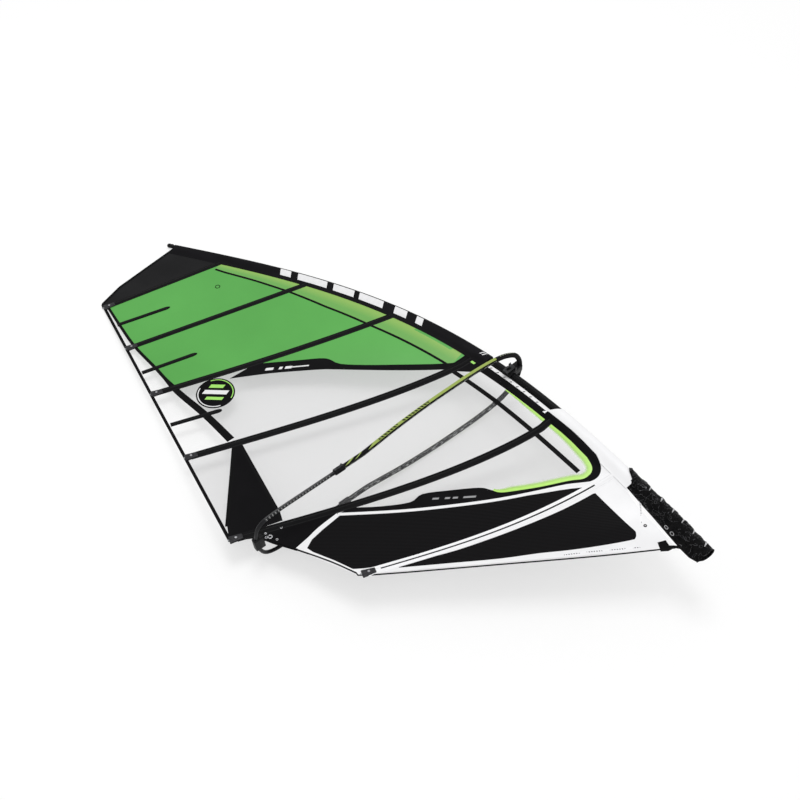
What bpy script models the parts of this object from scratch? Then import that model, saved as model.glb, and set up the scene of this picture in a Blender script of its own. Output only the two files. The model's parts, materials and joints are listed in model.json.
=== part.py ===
# Rigged windsurf sail, lying on its lower boom arm, the mast's tip and the head's leech corner.
# Every piece is laid out in the sail's own plane: U runs up the mast's chord from the tack,
# V runs aft to the clew and W stands square to the cloth. An empty then lays the rig down.
import math

import bmesh
import bpy
from mathutils import Matrix, Vector

GAP = 0.0003                      # clearance between pieces that touch
TUBE_SIDES = 10
TURNED_SIDES = 16

# Mast, bent into half a sine wave between its foot and its tip
MAST_FOOT = (-0.14, -0.067)
MAST_TIP = (4.57, -0.015)
MAST_BEND = 0.53
MAST_FOOT_R = 0.0265
MAST_TIP_R = 0.0105
MAST_TAPER = 1.6
MAST_WALL = 0.0035
MAST_BOTTOM_END = 0.10
MAST_SPLIT = 2.10
MAST_TOP_END = 4.53
FERRULE_LENGTH = 0.17
FERRULE_R = 0.0165

# Luff sleeve, in two lengths with the boom's cut-out between them
SEAM_AFT = 0.085
SLEEVE_CLEARANCE = 0.004
SLEEVE_WALL = 0.002
UPPER_SLEEVE = (1.76, 4.52)
LOWER_SLEEVE = (0.52, 1.16)
CUTOUT_EDGE_AFT = 0.041

# Planform of the cloth and the hollow of its lower body
FILM = 0.0024
BATTEN_SLOPE = 0.5
TACK_CORNER = (0.02, 0.003)
FOOT_CORNER = (1.37, 1.29)
LEECH_BASE = (2.14, 1.60)
LEECH_TOP = (4.43, 0.77)
HEAD_EDGE = ((4.505, 0.30), (4.50, 0.55), (4.455, 0.755))
CLEW_EDGE = ((2.030, 1.465), (1.915, 1.436))
DRAFT = 0.12
DRAFT_HEIGHT = 1.35
DRAFT_SPREAD = 1.0
DRAFT_SKEW = 0.76
FULL_DRAFT_CHORD = 0.7

# Battens from the head down: their station on the mast, and their leech end
BATTEN_LUFF = (4.098, 3.371, 2.608, 1.869, 1.115, 0.560)
BATTEN_LEECH = ((4.41, 0.777), (3.93, 0.951), (3.44, 1.129), (2.83, 1.350), (2.14, 1.600), (1.355, 1.275))
POCKET = (0.034, 0.012)
POCKET_BORE = (0.028, 0.008)
POCKET_STEPS = 8
ROD = (0.022, 0.005)
ROD_START = 0.010
TENSIONER_LENGTH = 0.030
TENSIONER_PROUD = 0.006
TENSIONER_R = 0.0075
POCKET_TO_PLUG = 0.0016
MINI_BATTENS = (((4.18, 0.83), (4.01, 0.46)), ((3.65, 1.03), (3.48, 0.66)), ((3.12, 1.22), (2.95, 0.91)))
MINI_WIDTH = 0.018
MINI_HEIGHT = 0.004

# Seams inside the rows between battens
BAND_LINE = ((2.06, -0.25), (2.57, 0.13), (2.80, 0.33))
BAND_LUFF_STATION = 1.915
BAND_SHARE = (0.600, 0.615)
LEECH_PANEL_SHARE = 0.84
WINDOW_SHARE = 0.68
WINDOW_LUFF_STATION = 0.70
FOOT_SEAM = ((0.665, -0.115), (1.785, 1.010), (1.772, 1.384))
FOOT_PANEL_SHARE = (0.09, 0.86)
FOOT_PANEL_TACK = ((0.275, 0.030), (0.262, 0.095))
FOOT_PANEL_CLEW = (1.225, 1.100)
FOOT_MEETS_BATTEN = 0.968

# Boom, in its own frame: X aft from the mast's axis, Y square to the sail, Z towards the head
BOOM_STATION = 1.585
BOOM_ANGLE = math.radians(78.8)
FRONT_ROUTE = ((0.14, 0.230), (0.05, 0.205), (-0.04, 0.150), (-0.085, 0.075), (-0.096, 0.0))
ARM_ROUTE = ((0.14, 0.230), (0.23, 0.242), (0.34, 0.249), (0.45, 0.250), (0.70, 0.245), (0.95, 0.225),
             (1.15, 0.195), (1.24, 0.181), (1.29, 0.178), (1.34, 0.178), (1.44, 0.178))
TAIL_ROUTE = ((1.30, 0.178), (1.50, 0.178), (1.70, 0.178), (1.90, 0.177), (1.99, 0.167), (2.045, 0.135),
              (2.072, 0.075), (2.080, 0.0))
GRIP_R = 0.0175
ARM_R = 0.0165
ARM_BORE_R = 0.0136
TAIL_R = 0.0125
TAIL_BORE_R = 0.0100
SADDLE_GAP = 0.0006
ROUTE_PIECES = 2
COLLAR_R = 0.0215
COLLAR_REACH = (1.405, 1.478)

# Boom head on the mast, and its lever
CLAMP_BORE = 0.0250
CLAMP_R = 0.0385
CLAMP_HEIGHT = 0.074
NECK_REACH = (-0.102, -0.030)
NECK_SIZE = (0.056, 0.060)
LEVER_PIVOT = (-0.030, 0.048)
LEVER_LENGTH = 0.078
LEVER_WIDTH = 0.044
LEVER_BARREL = (0.0065, 0.048)
LEVER_PIN = (0.0030, 0.060)
CLIP_PIVOT = (1.418, 0.027)
CLIP_LENGTH = 0.058
CLIP_WIDTH = 0.015
CLIP_BARREL = (0.0040, 0.017)
CLIP_PIN = (0.0016, 0.023)
PIN_CLEARANCE = 0.0006
EAR = 0.006

# Pulleys and lines
SHEAVE_R = 0.0130
SHEAVE_GROOVE_R = 0.0095
SHEAVE_BORE = 0.0033
SHEAVE_WIDTH = 0.009
SLOT_WIDTH = 0.0104
AXLE_R = 0.0030
LINE_R = 0.0022
LINE_ON_SHEAVE = SHEAVE_GROOVE_R + LINE_R + GAP
CLEW_RING_AT = 1.990
CLEW_HOLE_R = 0.0125
TAIL_BLOCK = ((2.034, 2.101), 0.050, 0.0185)
TAIL_SLOT = ((2.030, 2.0615), 0.036)
TAIL_SHEAVE_AT = 2.047

# Mast foot, in a frame on the mast's lower end: X aft, Y square to the sail, Z up the mast
EXTENSION_R = 0.0195
EXTENSION_BORE = 0.0165
EXTENSION_REACH = (-0.200, 0.150)
CUP_R = 0.0245
CUP_REACH = (-0.250, -0.150)
CUP_BORE = 0.0202
SOCKET_R = 0.0085
SOCKET_DEPTH = 0.045
CUP_BLOCK = ((0.0215, 0.058), (-0.208, -0.172))
TACK_BLOCK = ((0.0275, 0.0625), (0.004, 0.044))
TACK_SLOT = ((0.0300, 0.0590), (0.002, 0.0375))
BLOCK_WIDTH = 0.021
DOWNHAUL_AFT = 0.0445
TACK_SHEAVE_UP = 0.020
CUP_SHEAVE_UP = -0.190
STRAP = ((0.060, 0.150), (0.0018, 0.0048), (0.010, 0.034))

# Soft cover over the mast foot: station and size, and half of its open section as (aft, square)
COVER_STATIONS = ((0.50, 0.80), (0.40, 0.92), (0.28, 1.02), (0.12, 1.04), (-0.02, 1.00), (-0.145, 0.96))
COVER_HALF = ((-0.043, 0.0), (-0.030, 0.030), (0.0, 0.042), (0.045, 0.041), (0.086, 0.028), (0.105, 0.008))
COVER_CENTRE = 0.030
COVER_INSIDE = (0.955, 0.930)
PANEL_TO_COVER = 0.003

# What the rig lies on, in U, V and W
REST_POINTS = ((1.721, 0.156, -0.2615), (4.413, 0.781, -0.0075), (4.571, -0.0145, -0.018))

# Finishes: colour, roughness, metallic and alpha
BLACK_CLOTH = ((0.016, 0.016, 0.018), 0.55, 0.0, 1.0)
GREEN_FILM = ((0.110, 0.460, 0.100), 0.30, 0.0, 1.0)
CLEAR_FILM = ((0.760, 0.760, 0.770), 0.15, 0.0, 0.45)
WHITE_LAMINATE = ((0.830, 0.830, 0.840), 0.50, 0.0, 1.0)
CARBON = ((0.020, 0.020, 0.022), 0.35, 0.0, 1.0)
LIME_GRIP = ((0.300, 0.370, 0.080), 0.80, 0.0, 1.0)
BLACK_GRIP = ((0.022, 0.022, 0.022), 0.85, 0.0, 1.0)
BLACK_PLASTIC = ((0.020, 0.020, 0.022), 0.45, 0.0, 1.0)
GREY_PLASTIC = ((0.300, 0.310, 0.320), 0.45, 0.0, 1.0)
BRIGHT_METAL = ((0.620, 0.620, 0.630), 0.30, 1.0, 1.0)
DARK_TUBE = ((0.060, 0.062, 0.066), 0.35, 0.0, 1.0)
BLACK_LINE = ((0.030, 0.030, 0.030), 0.80, 0.0, 1.0)
NEOPRENE = ((0.018, 0.018, 0.019), 0.75, 0.0, 1.0)


# Scene, materials and solids

def clear_scene():
    for item in list(bpy.data.objects):
        bpy.data.objects.remove(item, do_unlink=True)


def make_material(name, finish):
    colour, roughness, metallic, alpha = finish
    made = bpy.data.materials.new(name)
    made.use_nodes = True
    shader = made.node_tree.nodes["Principled BSDF"]
    shader.inputs["Base Color"].default_value = (*colour, 1.0)
    shader.inputs["Roughness"].default_value = roughness
    shader.inputs["Metallic"].default_value = metallic
    shader.inputs["Alpha"].default_value = alpha
    return made


def add_empty(name, matrix, parent=None):
    empty = bpy.data.objects.new(name, None)
    bpy.context.collection.objects.link(empty)
    empty.parent = parent
    empty.matrix_local = matrix
    return empty


def add_solid(name, bm, finish, parent, matrix=None):
    bmesh.ops.recalc_face_normals(bm, faces=bm.faces)
    mesh = bpy.data.meshes.new(name)
    bm.to_mesh(mesh)
    bm.free()
    mesh.shade_smooth()
    mesh.set_sharp_from_angle(angle=math.radians(40.0))
    mesh.materials.append(make_material(name, finish))
    made = bpy.data.objects.new(name, mesh)
    bpy.context.collection.objects.link(made)
    made.parent = parent
    made.matrix_local = matrix or Matrix.Identity(4)
    return made


def shape_with(target, operation, bm, matrix=None):
    """Join another shape to a piece, or cut it away, in the frame of the piece's parent."""
    tool = add_solid(f"{target.name}_tool", bm, BLACK_PLASTIC, target.parent, matrix)
    tool.hide_render = True
    tool.display_type = 'WIRE'
    step = target.modifiers.new(operation, 'BOOLEAN')
    step.operation = operation
    step.object = tool
    step.solver = 'EXACT'


def box(reach_x, reach_y, reach_z):
    bm = bmesh.new()
    sizes = [high - low for low, high in (reach_x, reach_y, reach_z)]
    middle = [(high + low) / 2 for low, high in (reach_x, reach_y, reach_z)]
    bmesh.ops.create_cube(bm, size=1.0, matrix=Matrix.Translation(middle) @ Matrix.Diagonal((*sizes, 1.0)))
    return bm


def both_ways(half):
    return -half, half


def rod(radius, length, sides=TUBE_SIDES):
    bm = bmesh.new()
    bmesh.ops.create_cone(bm, cap_ends=True, segments=sides, radius1=radius, radius2=radius, depth=length)
    return bm


def turned(profile):
    """Solid of revolution about Z from a closed outline of (radius, height) points."""
    bm = bmesh.new()
    verts = [bm.verts.new((radius, 0.0, height)) for radius, height in profile]
    edges = []
    for start, end in zip(verts, verts[1:] + verts[:1]):
        if start.co.x > 0 or end.co.x > 0:
            edges.append(bm.edges.new((start, end)))
    bmesh.ops.spin(bm, geom=verts + edges, cent=(0, 0, 0), axis=(0, 0, 1), angle=2 * math.pi,
                   steps=TURNED_SIDES)
    bmesh.ops.remove_doubles(bm, verts=bm.verts, dist=0.00001)
    return bm


def circle(centre, side, up, radius):
    turns = [2 * math.pi * step / TUBE_SIDES for step in range(TUBE_SIDES)]
    return [centre + side * (radius * math.cos(turn)) + up * (radius * math.sin(turn)) for turn in turns]


def skin(bm, rings, capped=True):
    """Faces from each ring of points to the next."""
    loops = [[bm.verts.new(point) for point in ring] for ring in rings]
    for low, high in zip(loops, loops[1:]):
        for here in range(len(low)):
            after = (here + 1) % len(low)
            bm.faces.new((low[here], low[after], high[after], high[here]))
    if capped:
        bm.faces.new(loops[0])
        bm.faces.new(loops[-1])
    return loops


def solid_between(rings):
    bm = bmesh.new()
    skin(bm, rings)
    return bm


def hollow_between(outer, inner):
    """A tube open at both ends, from its outer and its inner rings."""
    bm = bmesh.new()
    outside = skin(bm, outer, capped=False)
    inside = skin(bm, inner, capped=False)
    for out_ring, in_ring in ((outside[0], inside[0]), (outside[-1], inside[-1])):
        for here in range(len(out_ring)):
            after = (here + 1) % len(out_ring)
            bm.faces.new((out_ring[here], out_ring[after], in_ring[after], in_ring[here]))
    return bm


def steps_between(start, end, count):
    return [start + (end - start) * step / count for step in range(count + 1)]


# The bent mast as a ruler: stations along it, set off aft and square to the sail

def mast_share(u):
    return (u - MAST_FOOT[0]) / (MAST_TIP[0] - MAST_FOOT[0])


def mast_v(u):
    share = mast_share(u)
    return MAST_FOOT[1] + (MAST_TIP[1] - MAST_FOOT[1]) * share - MAST_BEND * math.sin(math.pi * share)


def mast_radius(u):
    return MAST_FOOT_R + (MAST_TIP_R - MAST_FOOT_R) * max(mast_share(u), 0.0) ** MAST_TAPER


def mast_axes(u):
    step = 0.001
    along = Vector((2 * step, mast_v(u + step) - mast_v(u - step), 0.0)).normalized()
    return along, Vector((-along.y, along.x, 0.0))


def by_mast(u, aft=0.0, up=0.0):
    return Vector((u, mast_v(u), up)) + mast_axes(u)[1] * aft


def mast_frame(u):
    """Frame on the mast: X aft, Y square to the sail, Z up the mast."""
    along, side = mast_axes(u)
    turn = Matrix((side, Vector((0.0, 0.0, 1.0)), along)).transposed().to_4x4()
    return Matrix.Translation(by_mast(u)) @ turn


# The cloth: where its surface lies, and panels between four edges

def leech_v(station):
    """V of the sail's free edge on the batten line that crosses the chord at this station."""
    corners = (TACK_CORNER, FOOT_CORNER, LEECH_BASE, LEECH_TOP)
    marks = [u - BATTEN_SLOPE * v for u, v in corners]
    part = 0 if station < marks[1] else 1 if station < marks[2] else 2
    share = (station - marks[part]) / (marks[part + 1] - marks[part])
    return corners[part][1] + share * (corners[part + 1][1] - corners[part][1])


def luff_v(station):
    v = mast_v(station)
    for _ in range(8):
        v = mast_v(station + BATTEN_SLOPE * v) + SEAM_AFT
    return v


def sail_w(u, v):
    station = u - BATTEN_SLOPE * v
    luff = luff_v(station)
    chord = max(leech_v(station) - luff, 0.05)
    share = min(max((v - luff) / chord, 0.0), 1.0)
    depth = DRAFT * math.exp(-((station - DRAFT_HEIGHT) / DRAFT_SPREAD) ** 2)
    return -depth * min(chord / FULL_DRAFT_CHORD, 1.0) * math.sin(math.pi * share ** DRAFT_SKEW)


def on_sail(point, lift=0.0):
    return Vector((point[0], point[1], sail_w(point[0], point[1]) + lift))


def sail_frame(point):
    """Frame on the cloth with Z square to its surface."""
    step = 0.01
    up_chord = on_sail((point[0] + step, point[1])) - on_sail((point[0] - step, point[1]))
    aft = on_sail((point[0], point[1] + step)) - on_sail((point[0], point[1] - step))
    tilt = Vector((0, 0, 1)).rotation_difference(up_chord.cross(aft))
    return Matrix.Translation(on_sail(point)) @ tilt.to_matrix().to_4x4()


def line(start, end):
    return lambda share: Vector(start).lerp(Vector(end), share)


def chain(points, shares=None):
    """Polyline through the points, each reached at its own share of the edge."""
    points = [Vector(point) for point in points]
    shares = shares or steps_between(0.0, 1.0, len(points) - 1)

    def at(share):
        part = max(index for index in range(len(points) - 1) if shares[index] <= share + 1e-9)
        inside = (share - shares[part]) / (shares[part + 1] - shares[part])
        return points[part].lerp(points[part + 1], inside)
    return at


def seam(start, end):
    """Edge along the sleeve's seam between two stations of the mast."""
    return lambda share: by_mast(start + (end - start) * share, SEAM_AFT + GAP).xy


def sail_panel(name, edges, steps, finish, parent):
    """Cloth between a top, a low, a luff and a leech edge, blended across its middle."""
    top, low, luff, leech = edges
    across, down = steps
    corners = (top(0.0), top(1.0), low(0.0), low(1.0))

    def at(x, y):
        ruled = top(x).lerp(low(x), y) + luff(y).lerp(leech(y), x)
        return ruled - corners[0].lerp(corners[1], x).lerp(corners[2].lerp(corners[3], x), y)
    bm = bmesh.new()
    flat = [[at(x / across, y / down) for x in range(across + 1)] for y in range(down + 1)]
    faces = [[[bm.verts.new(on_sail(point, lift)) for point in row] for row in flat]
             for lift in (FILM / 2, -FILM / 2)]
    for grid in faces:
        for row, after in zip(grid, grid[1:]):
            for x in range(across):
                bm.faces.new((row[x], row[x + 1], after[x + 1], after[x]))
    upper, lower = (rim(grid) for grid in faces)
    for here in range(len(upper)):
        after = (here + 1) % len(upper)
        bm.faces.new((upper[here], upper[after], lower[after], lower[here]))
    return add_solid(name, bm, finish, parent)


def rim(grid):
    left = [row[0] for row in grid[1:-1]]
    right = [row[-1] for row in grid[1:-1]]
    return grid[0] + right + grid[-1][::-1] + left[::-1]


# Battens

def beside_batten(number, share, across=0.0):
    """Point beside a batten's centre line; its luff end is cut along the sleeve's seam."""
    start = by_mast(BATTEN_LUFF[number], SEAM_AFT + GAP).xy
    span = Vector(BATTEN_LEECH[number]) - start
    along = span.normalized()
    square = Vector((along.y, -along.x))
    luff = mast_axes(BATTEN_LUFF[number])[0].xy
    cut = across * luff.dot(along) / luff.dot(square)
    return start + span * share + square * across + along * cut * (1 - share)


def batten_length(number):
    return (beside_batten(number, 1.0) - beside_batten(number, 0.0)).length


def batten_edge(number, side, first=0.0, last=1.0):
    """Edge of the panel beside a batten: side 1 is towards the head, -1 towards the foot."""
    across = side * (POCKET[0] / 2 + 2 * GAP)
    return lambda share: beside_batten(number, first + (last - first) * share, across)


def edge_station(number, side):
    """Station at which the edge of the panel beside a batten leaves the sleeve's seam."""
    luff = mast_axes(BATTEN_LUFF[number])[0].xy
    span = beside_batten(number, 1.0) - beside_batten(number, 0.0)
    square = Vector((span.y, -span.x)).normalized()
    return BATTEN_LUFF[number] + side * (POCKET[0] / 2 + 2 * GAP) * luff.x / luff.dot(square)


def pocket_lift(number, share, mouth):
    """W of a pocket's centre line, which runs straight between its stations as its rod does."""
    place = share / mouth * POCKET_STEPS
    step = min(int(place), POCKET_STEPS - 1)
    low, high = (on_sail(beside_batten(number, mouth * mark / POCKET_STEPS)).z for mark in (step, step + 1))
    return low + (high - low) * (place - step)


def flat_rings(number, reach, mouth, size):
    half, top = size[0] / 2, size[1] / 2
    section = ((half, 0.5 * top), (0.7 * half, top), (-0.7 * half, top), (-half, 0.5 * top),
               (-half, -0.5 * top), (-0.7 * half, -top), (0.7 * half, -top), (half, -0.5 * top))
    shares = [reach[0]] + steps_between(0.0, mouth, POCKET_STEPS)[1:-1] + [reach[1]]
    rings = []
    for share in shares:
        lift = pocket_lift(number, share, mouth)
        rings.append([Vector((*beside_batten(number, share, across), lift + up)) for across, up in section])
    return rings


def build_battens(rig):
    pocket_finish = (BLACK_CLOTH,) * 5 + (WHITE_LAMINATE,)
    for number in range(len(BATTEN_LUFF)):
        length = batten_length(number)
        mouth = 1 - (TENSIONER_LENGTH - TENSIONER_PROUD + POCKET_TO_PLUG) / length
        outer, inner = (flat_rings(number, (0.0, mouth), mouth, size) for size in (POCKET, POCKET_BORE))
        add_solid(f"batten_pocket_{number + 1}", hollow_between(outer, inner), pocket_finish[number], rig)
        stiff = solid_between(flat_rings(number, (ROD_START / length, mouth - GAP), mouth, ROD))
        add_solid(f"batten_rod_{number + 1}", stiff, DARK_TUBE, rig)
        build_tensioner(number, length, rig)
    for number, (aft, fore) in enumerate(MINI_BATTENS):
        build_mini_batten(number, Vector(aft), Vector(fore), rig)


def build_tensioner(number, length, rig):
    """Plug with a key socket, on the batten's own axis at the leech."""
    back = on_sail(beside_batten(number, 1 - (TENSIONER_LENGTH - TENSIONER_PROUD) / length))
    axis = on_sail(beside_batten(number, 1.0)) - back
    turn = Vector((0, 0, 1)).rotation_difference(axis).to_matrix().to_4x4()
    socket, depth, edge = 0.0025, 0.008, 0.0015
    end = TENSIONER_LENGTH
    outline = ((0.0, 0.0), (TENSIONER_R, 0.0), (TENSIONER_R, end - edge), (TENSIONER_R - edge, end),
               (socket, end), (socket, end - depth), (0.0, end - depth))
    add_solid(f"batten_tensioner_{number + 1}", turned(outline), GREY_PLASTIC, rig,
              Matrix.Translation(back) @ turn)


def build_mini_batten(number, aft, fore, rig):
    along = (fore - aft).normalized()
    square = Vector((along.y, -along.x, 0.0)) * (MINI_WIDTH / 2)
    low = FILM / 2 + 3 * GAP
    rings = []
    for share in steps_between(0.0, 1.0, 6):
        base = on_sail(aft.lerp(fore, share), low)
        top = base + Vector((0, 0, MINI_HEIGHT))
        rings.append([base + square, top + square * 0.7, top - square * 0.7, base - square])
    add_solid(f"mini_batten_{number + 1}", solid_between(rings), BLACK_CLOTH, rig)


# Panels

def full_row(upper, lower, first=0.0, last=1.0):
    """The four edges of the row between two battens, or of a share of its width."""
    top = batten_edge(upper, -1, first, last)
    low = batten_edge(lower, 1, first, last)
    luff = seam(edge_station(upper, -1), edge_station(lower, 1)) if first == 0.0 else line(top(0.0), low(0.0))
    return top, low, luff, line(top(1.0), low(1.0))


def build_upper_panels(rig):
    head_luff = seam(UPPER_SLEEVE[1], edge_station(0, 1))
    head_low = batten_edge(0, 1)
    head_top = chain((head_luff(0.0), *HEAD_EDGE))
    sail_panel("head_panel", (head_top, head_low, head_luff, line(HEAD_EDGE[-1], head_low(1.0))), (9, 4),
               BLACK_CLOTH, rig)
    sail_panel("upper_panel", full_row(0, 1), (10, 6), GREEN_FILM, rig)
    sail_panel("green_panel", full_row(1, 2), (12, 6), GREEN_FILM, rig)
    build_middle_row(rig)
    share = LEECH_PANEL_SHARE
    hair = 2 * GAP / batten_length(3)
    sail_panel("main_window", full_row(3, 4, 0.0, share - hair), (12, 6), CLEAR_FILM, rig)
    sail_panel("leech_panel", full_row(3, 4, share + hair, 1.0), (3, 6), BLACK_CLOTH, rig)
    start, end = UPPER_SLEEVE[0] - 0.015, LOWER_SLEEVE[1] + 0.015
    fore = [by_mast(u, CUTOUT_EDGE_AFT).xy for u in (start, end)]
    aft = [by_mast(u, SEAM_AFT - GAP).xy for u in (start, end)]
    edges = (line(fore[0], aft[0]), line(fore[1], aft[1]),
             lambda share: by_mast(start + (end - start) * share, CUTOUT_EDGE_AFT).xy,
             lambda share: by_mast(start + (end - start) * share, SEAM_AFT - GAP).xy)
    sail_panel("cutout_edge", edges, (1, 8), WHITE_LAMINATE, rig)


def build_middle_row(rig):
    """Green film above the diagonal band and clear film below it."""
    band_luff = seam(edge_station(2, -1), BAND_LUFF_STATION)
    top = batten_edge(2, -1, 0.0, BAND_SHARE[0])
    tip = batten_edge(2, -1, BAND_SHARE[1], 1.0)
    band = chain((band_luff(1.0), *BAND_LINE, tip(0.0)))
    sail_panel("middle_panel", (top, band, band_luff, line(top(1.0), tip(0.0))), (12, 5), GREEN_FILM, rig)
    apart = (-3 * GAP, 3 * GAP)
    window_luff = seam(BAND_LUFF_STATION - 5 * GAP, edge_station(3, 1))
    points = [Vector(point) + Vector(apart) for point in BAND_LINE]
    window_top = chain((window_luff(0.0), *points, tip(0.008), tip(1.0)))
    low = batten_edge(3, 1)
    sail_panel("middle_window", (window_top, low, window_luff, line(tip(1.0), low(1.0))), (15, 5),
               CLEAR_FILM, rig)


def build_foot_panels(rig):
    corner, seam_top, seam_low = (Vector(point) for point in FOOT_SEAM)
    apart = Vector((-3 * GAP, 3 * GAP))
    window_top = batten_edge(4, -1, 0.0, WINDOW_SHARE)
    luff_points = [by_mast(u, SEAM_AFT + GAP).xy for u in
                   steps_between(edge_station(4, -1), WINDOW_LUFF_STATION, 4)]
    sail_panel("lower_window", (window_top, line(corner, seam_top), chain((*luff_points, corner)),
                                line(window_top(1.0), seam_top)), (8, 5), CLEAR_FILM, rig)
    foot_luff = seam(WINDOW_LUFF_STATION - 5 * GAP, edge_station(5, 1))
    foot_top = chain((foot_luff(0.0), corner + apart, seam_top + apart), (0.0, 0.125, 1.0))
    batten = batten_edge(5, 1)
    foot_low = chain((batten(0.0), batten(1.0), seam_low - Vector((4 * GAP, 0))), (0.0, 0.75, 1.0))
    sail_panel("upper_foot_panel", (foot_top, foot_low, foot_luff, line(foot_top(1.0), foot_low(1.0))),
               (8, 4), BLACK_CLOTH, rig)
    clew_top = batten_edge(4, -1, WINDOW_SHARE + 3 * GAP, 1.0)
    clew_low = line(seam_top + Vector((3 * GAP, 2 * GAP)), seam_low)
    clew_out = chain((clew_top(1.0), *CLEW_EDGE, seam_low))
    patch = sail_panel("clew_patch", (clew_top, clew_low, line(clew_top(0.0), clew_low(0.0)), clew_out),
                       (6, 6), BLACK_CLOTH, rig)
    shape_with(patch, 'DIFFERENCE', rod(CLEW_HOLE_R, 0.02), sail_frame(clew_ring_place()))
    build_tack_panels(rig)


def build_tack_panels(rig):
    """Black reinforced foot panel, and the white laminate round its tack and foot sides."""
    first, last = FOOT_PANEL_SHARE
    top = batten_edge(5, -1, first, last)
    tack, low = (Vector(point) for point in FOOT_PANEL_TACK)
    clew = Vector(FOOT_PANEL_CLEW)
    sail_panel("lower_foot_panel", (top, line(low, clew), chain((top(0.0), tack, low), (0.0, 0.8, 1.0)),
                                    line(top(1.0), clew)), (8, 5), BLACK_CLOTH, rig)
    edge = batten_edge(5, -1)
    hair = 3 * GAP
    inner = chain((edge(first - hair), tack + Vector((-hair, 0)), low + Vector((-hair, hair)),
                   clew + Vector((0, 2 * hair)), edge(last + hair)), (0.0, 0.40, 0.45, 0.95, 1.0))
    reaches = [(u, COVER_HALF[-1][0] * size + PANEL_TO_COVER) for u, size in COVER_STATIONS[:4]]
    luff = [by_mast(edge_station(5, -1), SEAM_AFT + GAP).xy]
    luff += [by_mast(u, aft).xy for u, aft in reaches]
    foot = edge(FOOT_MEETS_BATTEN)
    outer = chain((*luff, Vector(TACK_CORNER), foot), (0.0, 0.05, 0.15, 0.25, 0.35, 0.45, 1.0))
    sail_panel("tack_panel", (inner, outer, line(inner(0.0), outer(0.0)), line(inner(1.0), outer(1.0))),
               (20, 2), WHITE_LAMINATE, rig)


# Luff sleeve and mast

def sleeve_ring(u, outside):
    radius = mast_radius(u) + SLEEVE_CLEARANCE + (SLEEVE_WALL if outside else 0.0)
    nose = [(-radius * math.cos(turn), radius * math.sin(turn)) for turn in steps_between(0, math.pi / 2, 3)]
    tail = [(0.35 * SEAM_AFT, 0.80 * radius), (0.65 * SEAM_AFT, 0.42 * radius)]
    lip = (SEAM_AFT - 3 * GAP, 0.0022) if outside else (SEAM_AFT - 0.018, 0.0012)
    half = nose + tail + [lip]
    return [by_mast(u, aft, up) for aft, up in half + [(aft, -up) for aft, up in reversed(half[1:])]]


def build_sleeves(rig):
    for name, reach, finish, count in (("luff_sleeve_upper", UPPER_SLEEVE, BLACK_CLOTH, 18),
                                       ("luff_sleeve_lower", LOWER_SLEEVE, WHITE_LAMINATE, 7)):
        stations = steps_between(*reach, count)
        outer = [sleeve_ring(u, True) for u in stations]
        inner = [sleeve_ring(u, False) for u in stations]
        add_solid(name, hollow_between(outer, inner), finish, rig)


def mast_tube(name, outer, inner, rig):
    rings = [[circle(by_mast(u), mast_axes(u)[1], Vector((0, 0, 1)), radius) for u, radius in side]
             for side in (outer, inner)]
    return add_solid(name, hollow_between(*rings), CARBON, rig)


def build_mast(rig):
    lower = steps_between(MAST_BOTTOM_END, MAST_SPLIT, 14)
    ferrule = steps_between(MAST_SPLIT + GAP / 2, MAST_SPLIT + FERRULE_LENGTH, 2)
    outer = [(u, mast_radius(u)) for u in lower] + [(u, FERRULE_R) for u in ferrule]
    inner = [(u, mast_radius(u) - MAST_WALL) for u in lower[:-1]]
    inner += [(u, FERRULE_R - MAST_WALL) for u in lower[-1:] + ferrule]
    mast_tube("mast_bottom", outer, inner, rig)
    socket = [u + GAP for u in ferrule]
    above = steps_between(MAST_SPLIT + FERRULE_LENGTH + 0.02, MAST_TOP_END, 16)
    outer = [(u, mast_radius(u)) for u in socket + above]
    inner = [(u, FERRULE_R + 0.0008) for u in socket] + [(u, mast_radius(u) - MAST_WALL) for u in above]
    mast_tube("mast_top", outer, inner, rig)
    tip_r = mast_radius(MAST_TOP_END)
    cap = ((0.0, GAP), (tip_r + 0.0015, GAP), (0.0180, 0.012), (0.0180, 0.044), (0.0120, 0.056), (0.0, 0.060))
    add_solid("tip_cap", turned(cap), BLACK_PLASTIC, rig, mast_frame(MAST_TOP_END))


# Boom

def smooth_route(points, pieces):
    """Curve through the points of a route, bending evenly at each."""
    points = [Vector(point) for point in points]
    ends = [2 * points[0] - points[1]] + points + [2 * points[-1] - points[-2]]
    curve = [points[0]]
    for before, start, end, after in zip(ends, ends[1:], ends[2:], ends[3:]):
        for t in steps_between(0.0, 1.0, pieces)[1:]:
            bend = 2 * before - 5 * start + 4 * end - after
            curve.append((2 * start + (end - before) * t + bend * t ** 2
                          + (3 * start - before - 3 * end + after) * t ** 3) / 2)
    return curve


def mirrored(route):
    return list(route) + [(x, -y) for x, y in reversed(route[:-1])]


def route_rings(points, radius):
    """Rings on a route in the boom's plane, all with their first corner towards the head."""
    curve = [Vector((*point, 0.0)) for point in smooth_route(points, ROUTE_PIECES)]
    head = Vector((0.0, 0.0, 1.0))
    rings = []
    for here, point in enumerate(curve):
        ahead = curve[min(here + 1, len(curve) - 1)] - curve[max(here - 1, 0)]
        rings.append(circle(point, head, head.cross(ahead.normalized()), radius))
    return rings


def boom_frame():
    aft = Vector((math.cos(BOOM_ANGLE), math.sin(BOOM_ANGLE), 0.0))
    up = Vector((0.0, 0.0, 1.0))
    return Matrix.Translation(by_mast(BOOM_STATION)) @ Matrix((aft, up, aft.cross(up))).transposed().to_4x4()


def clew_ring_place():
    return (boom_frame() @ Vector((CLEW_RING_AT, 0.0, 0.0))).xy


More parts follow.
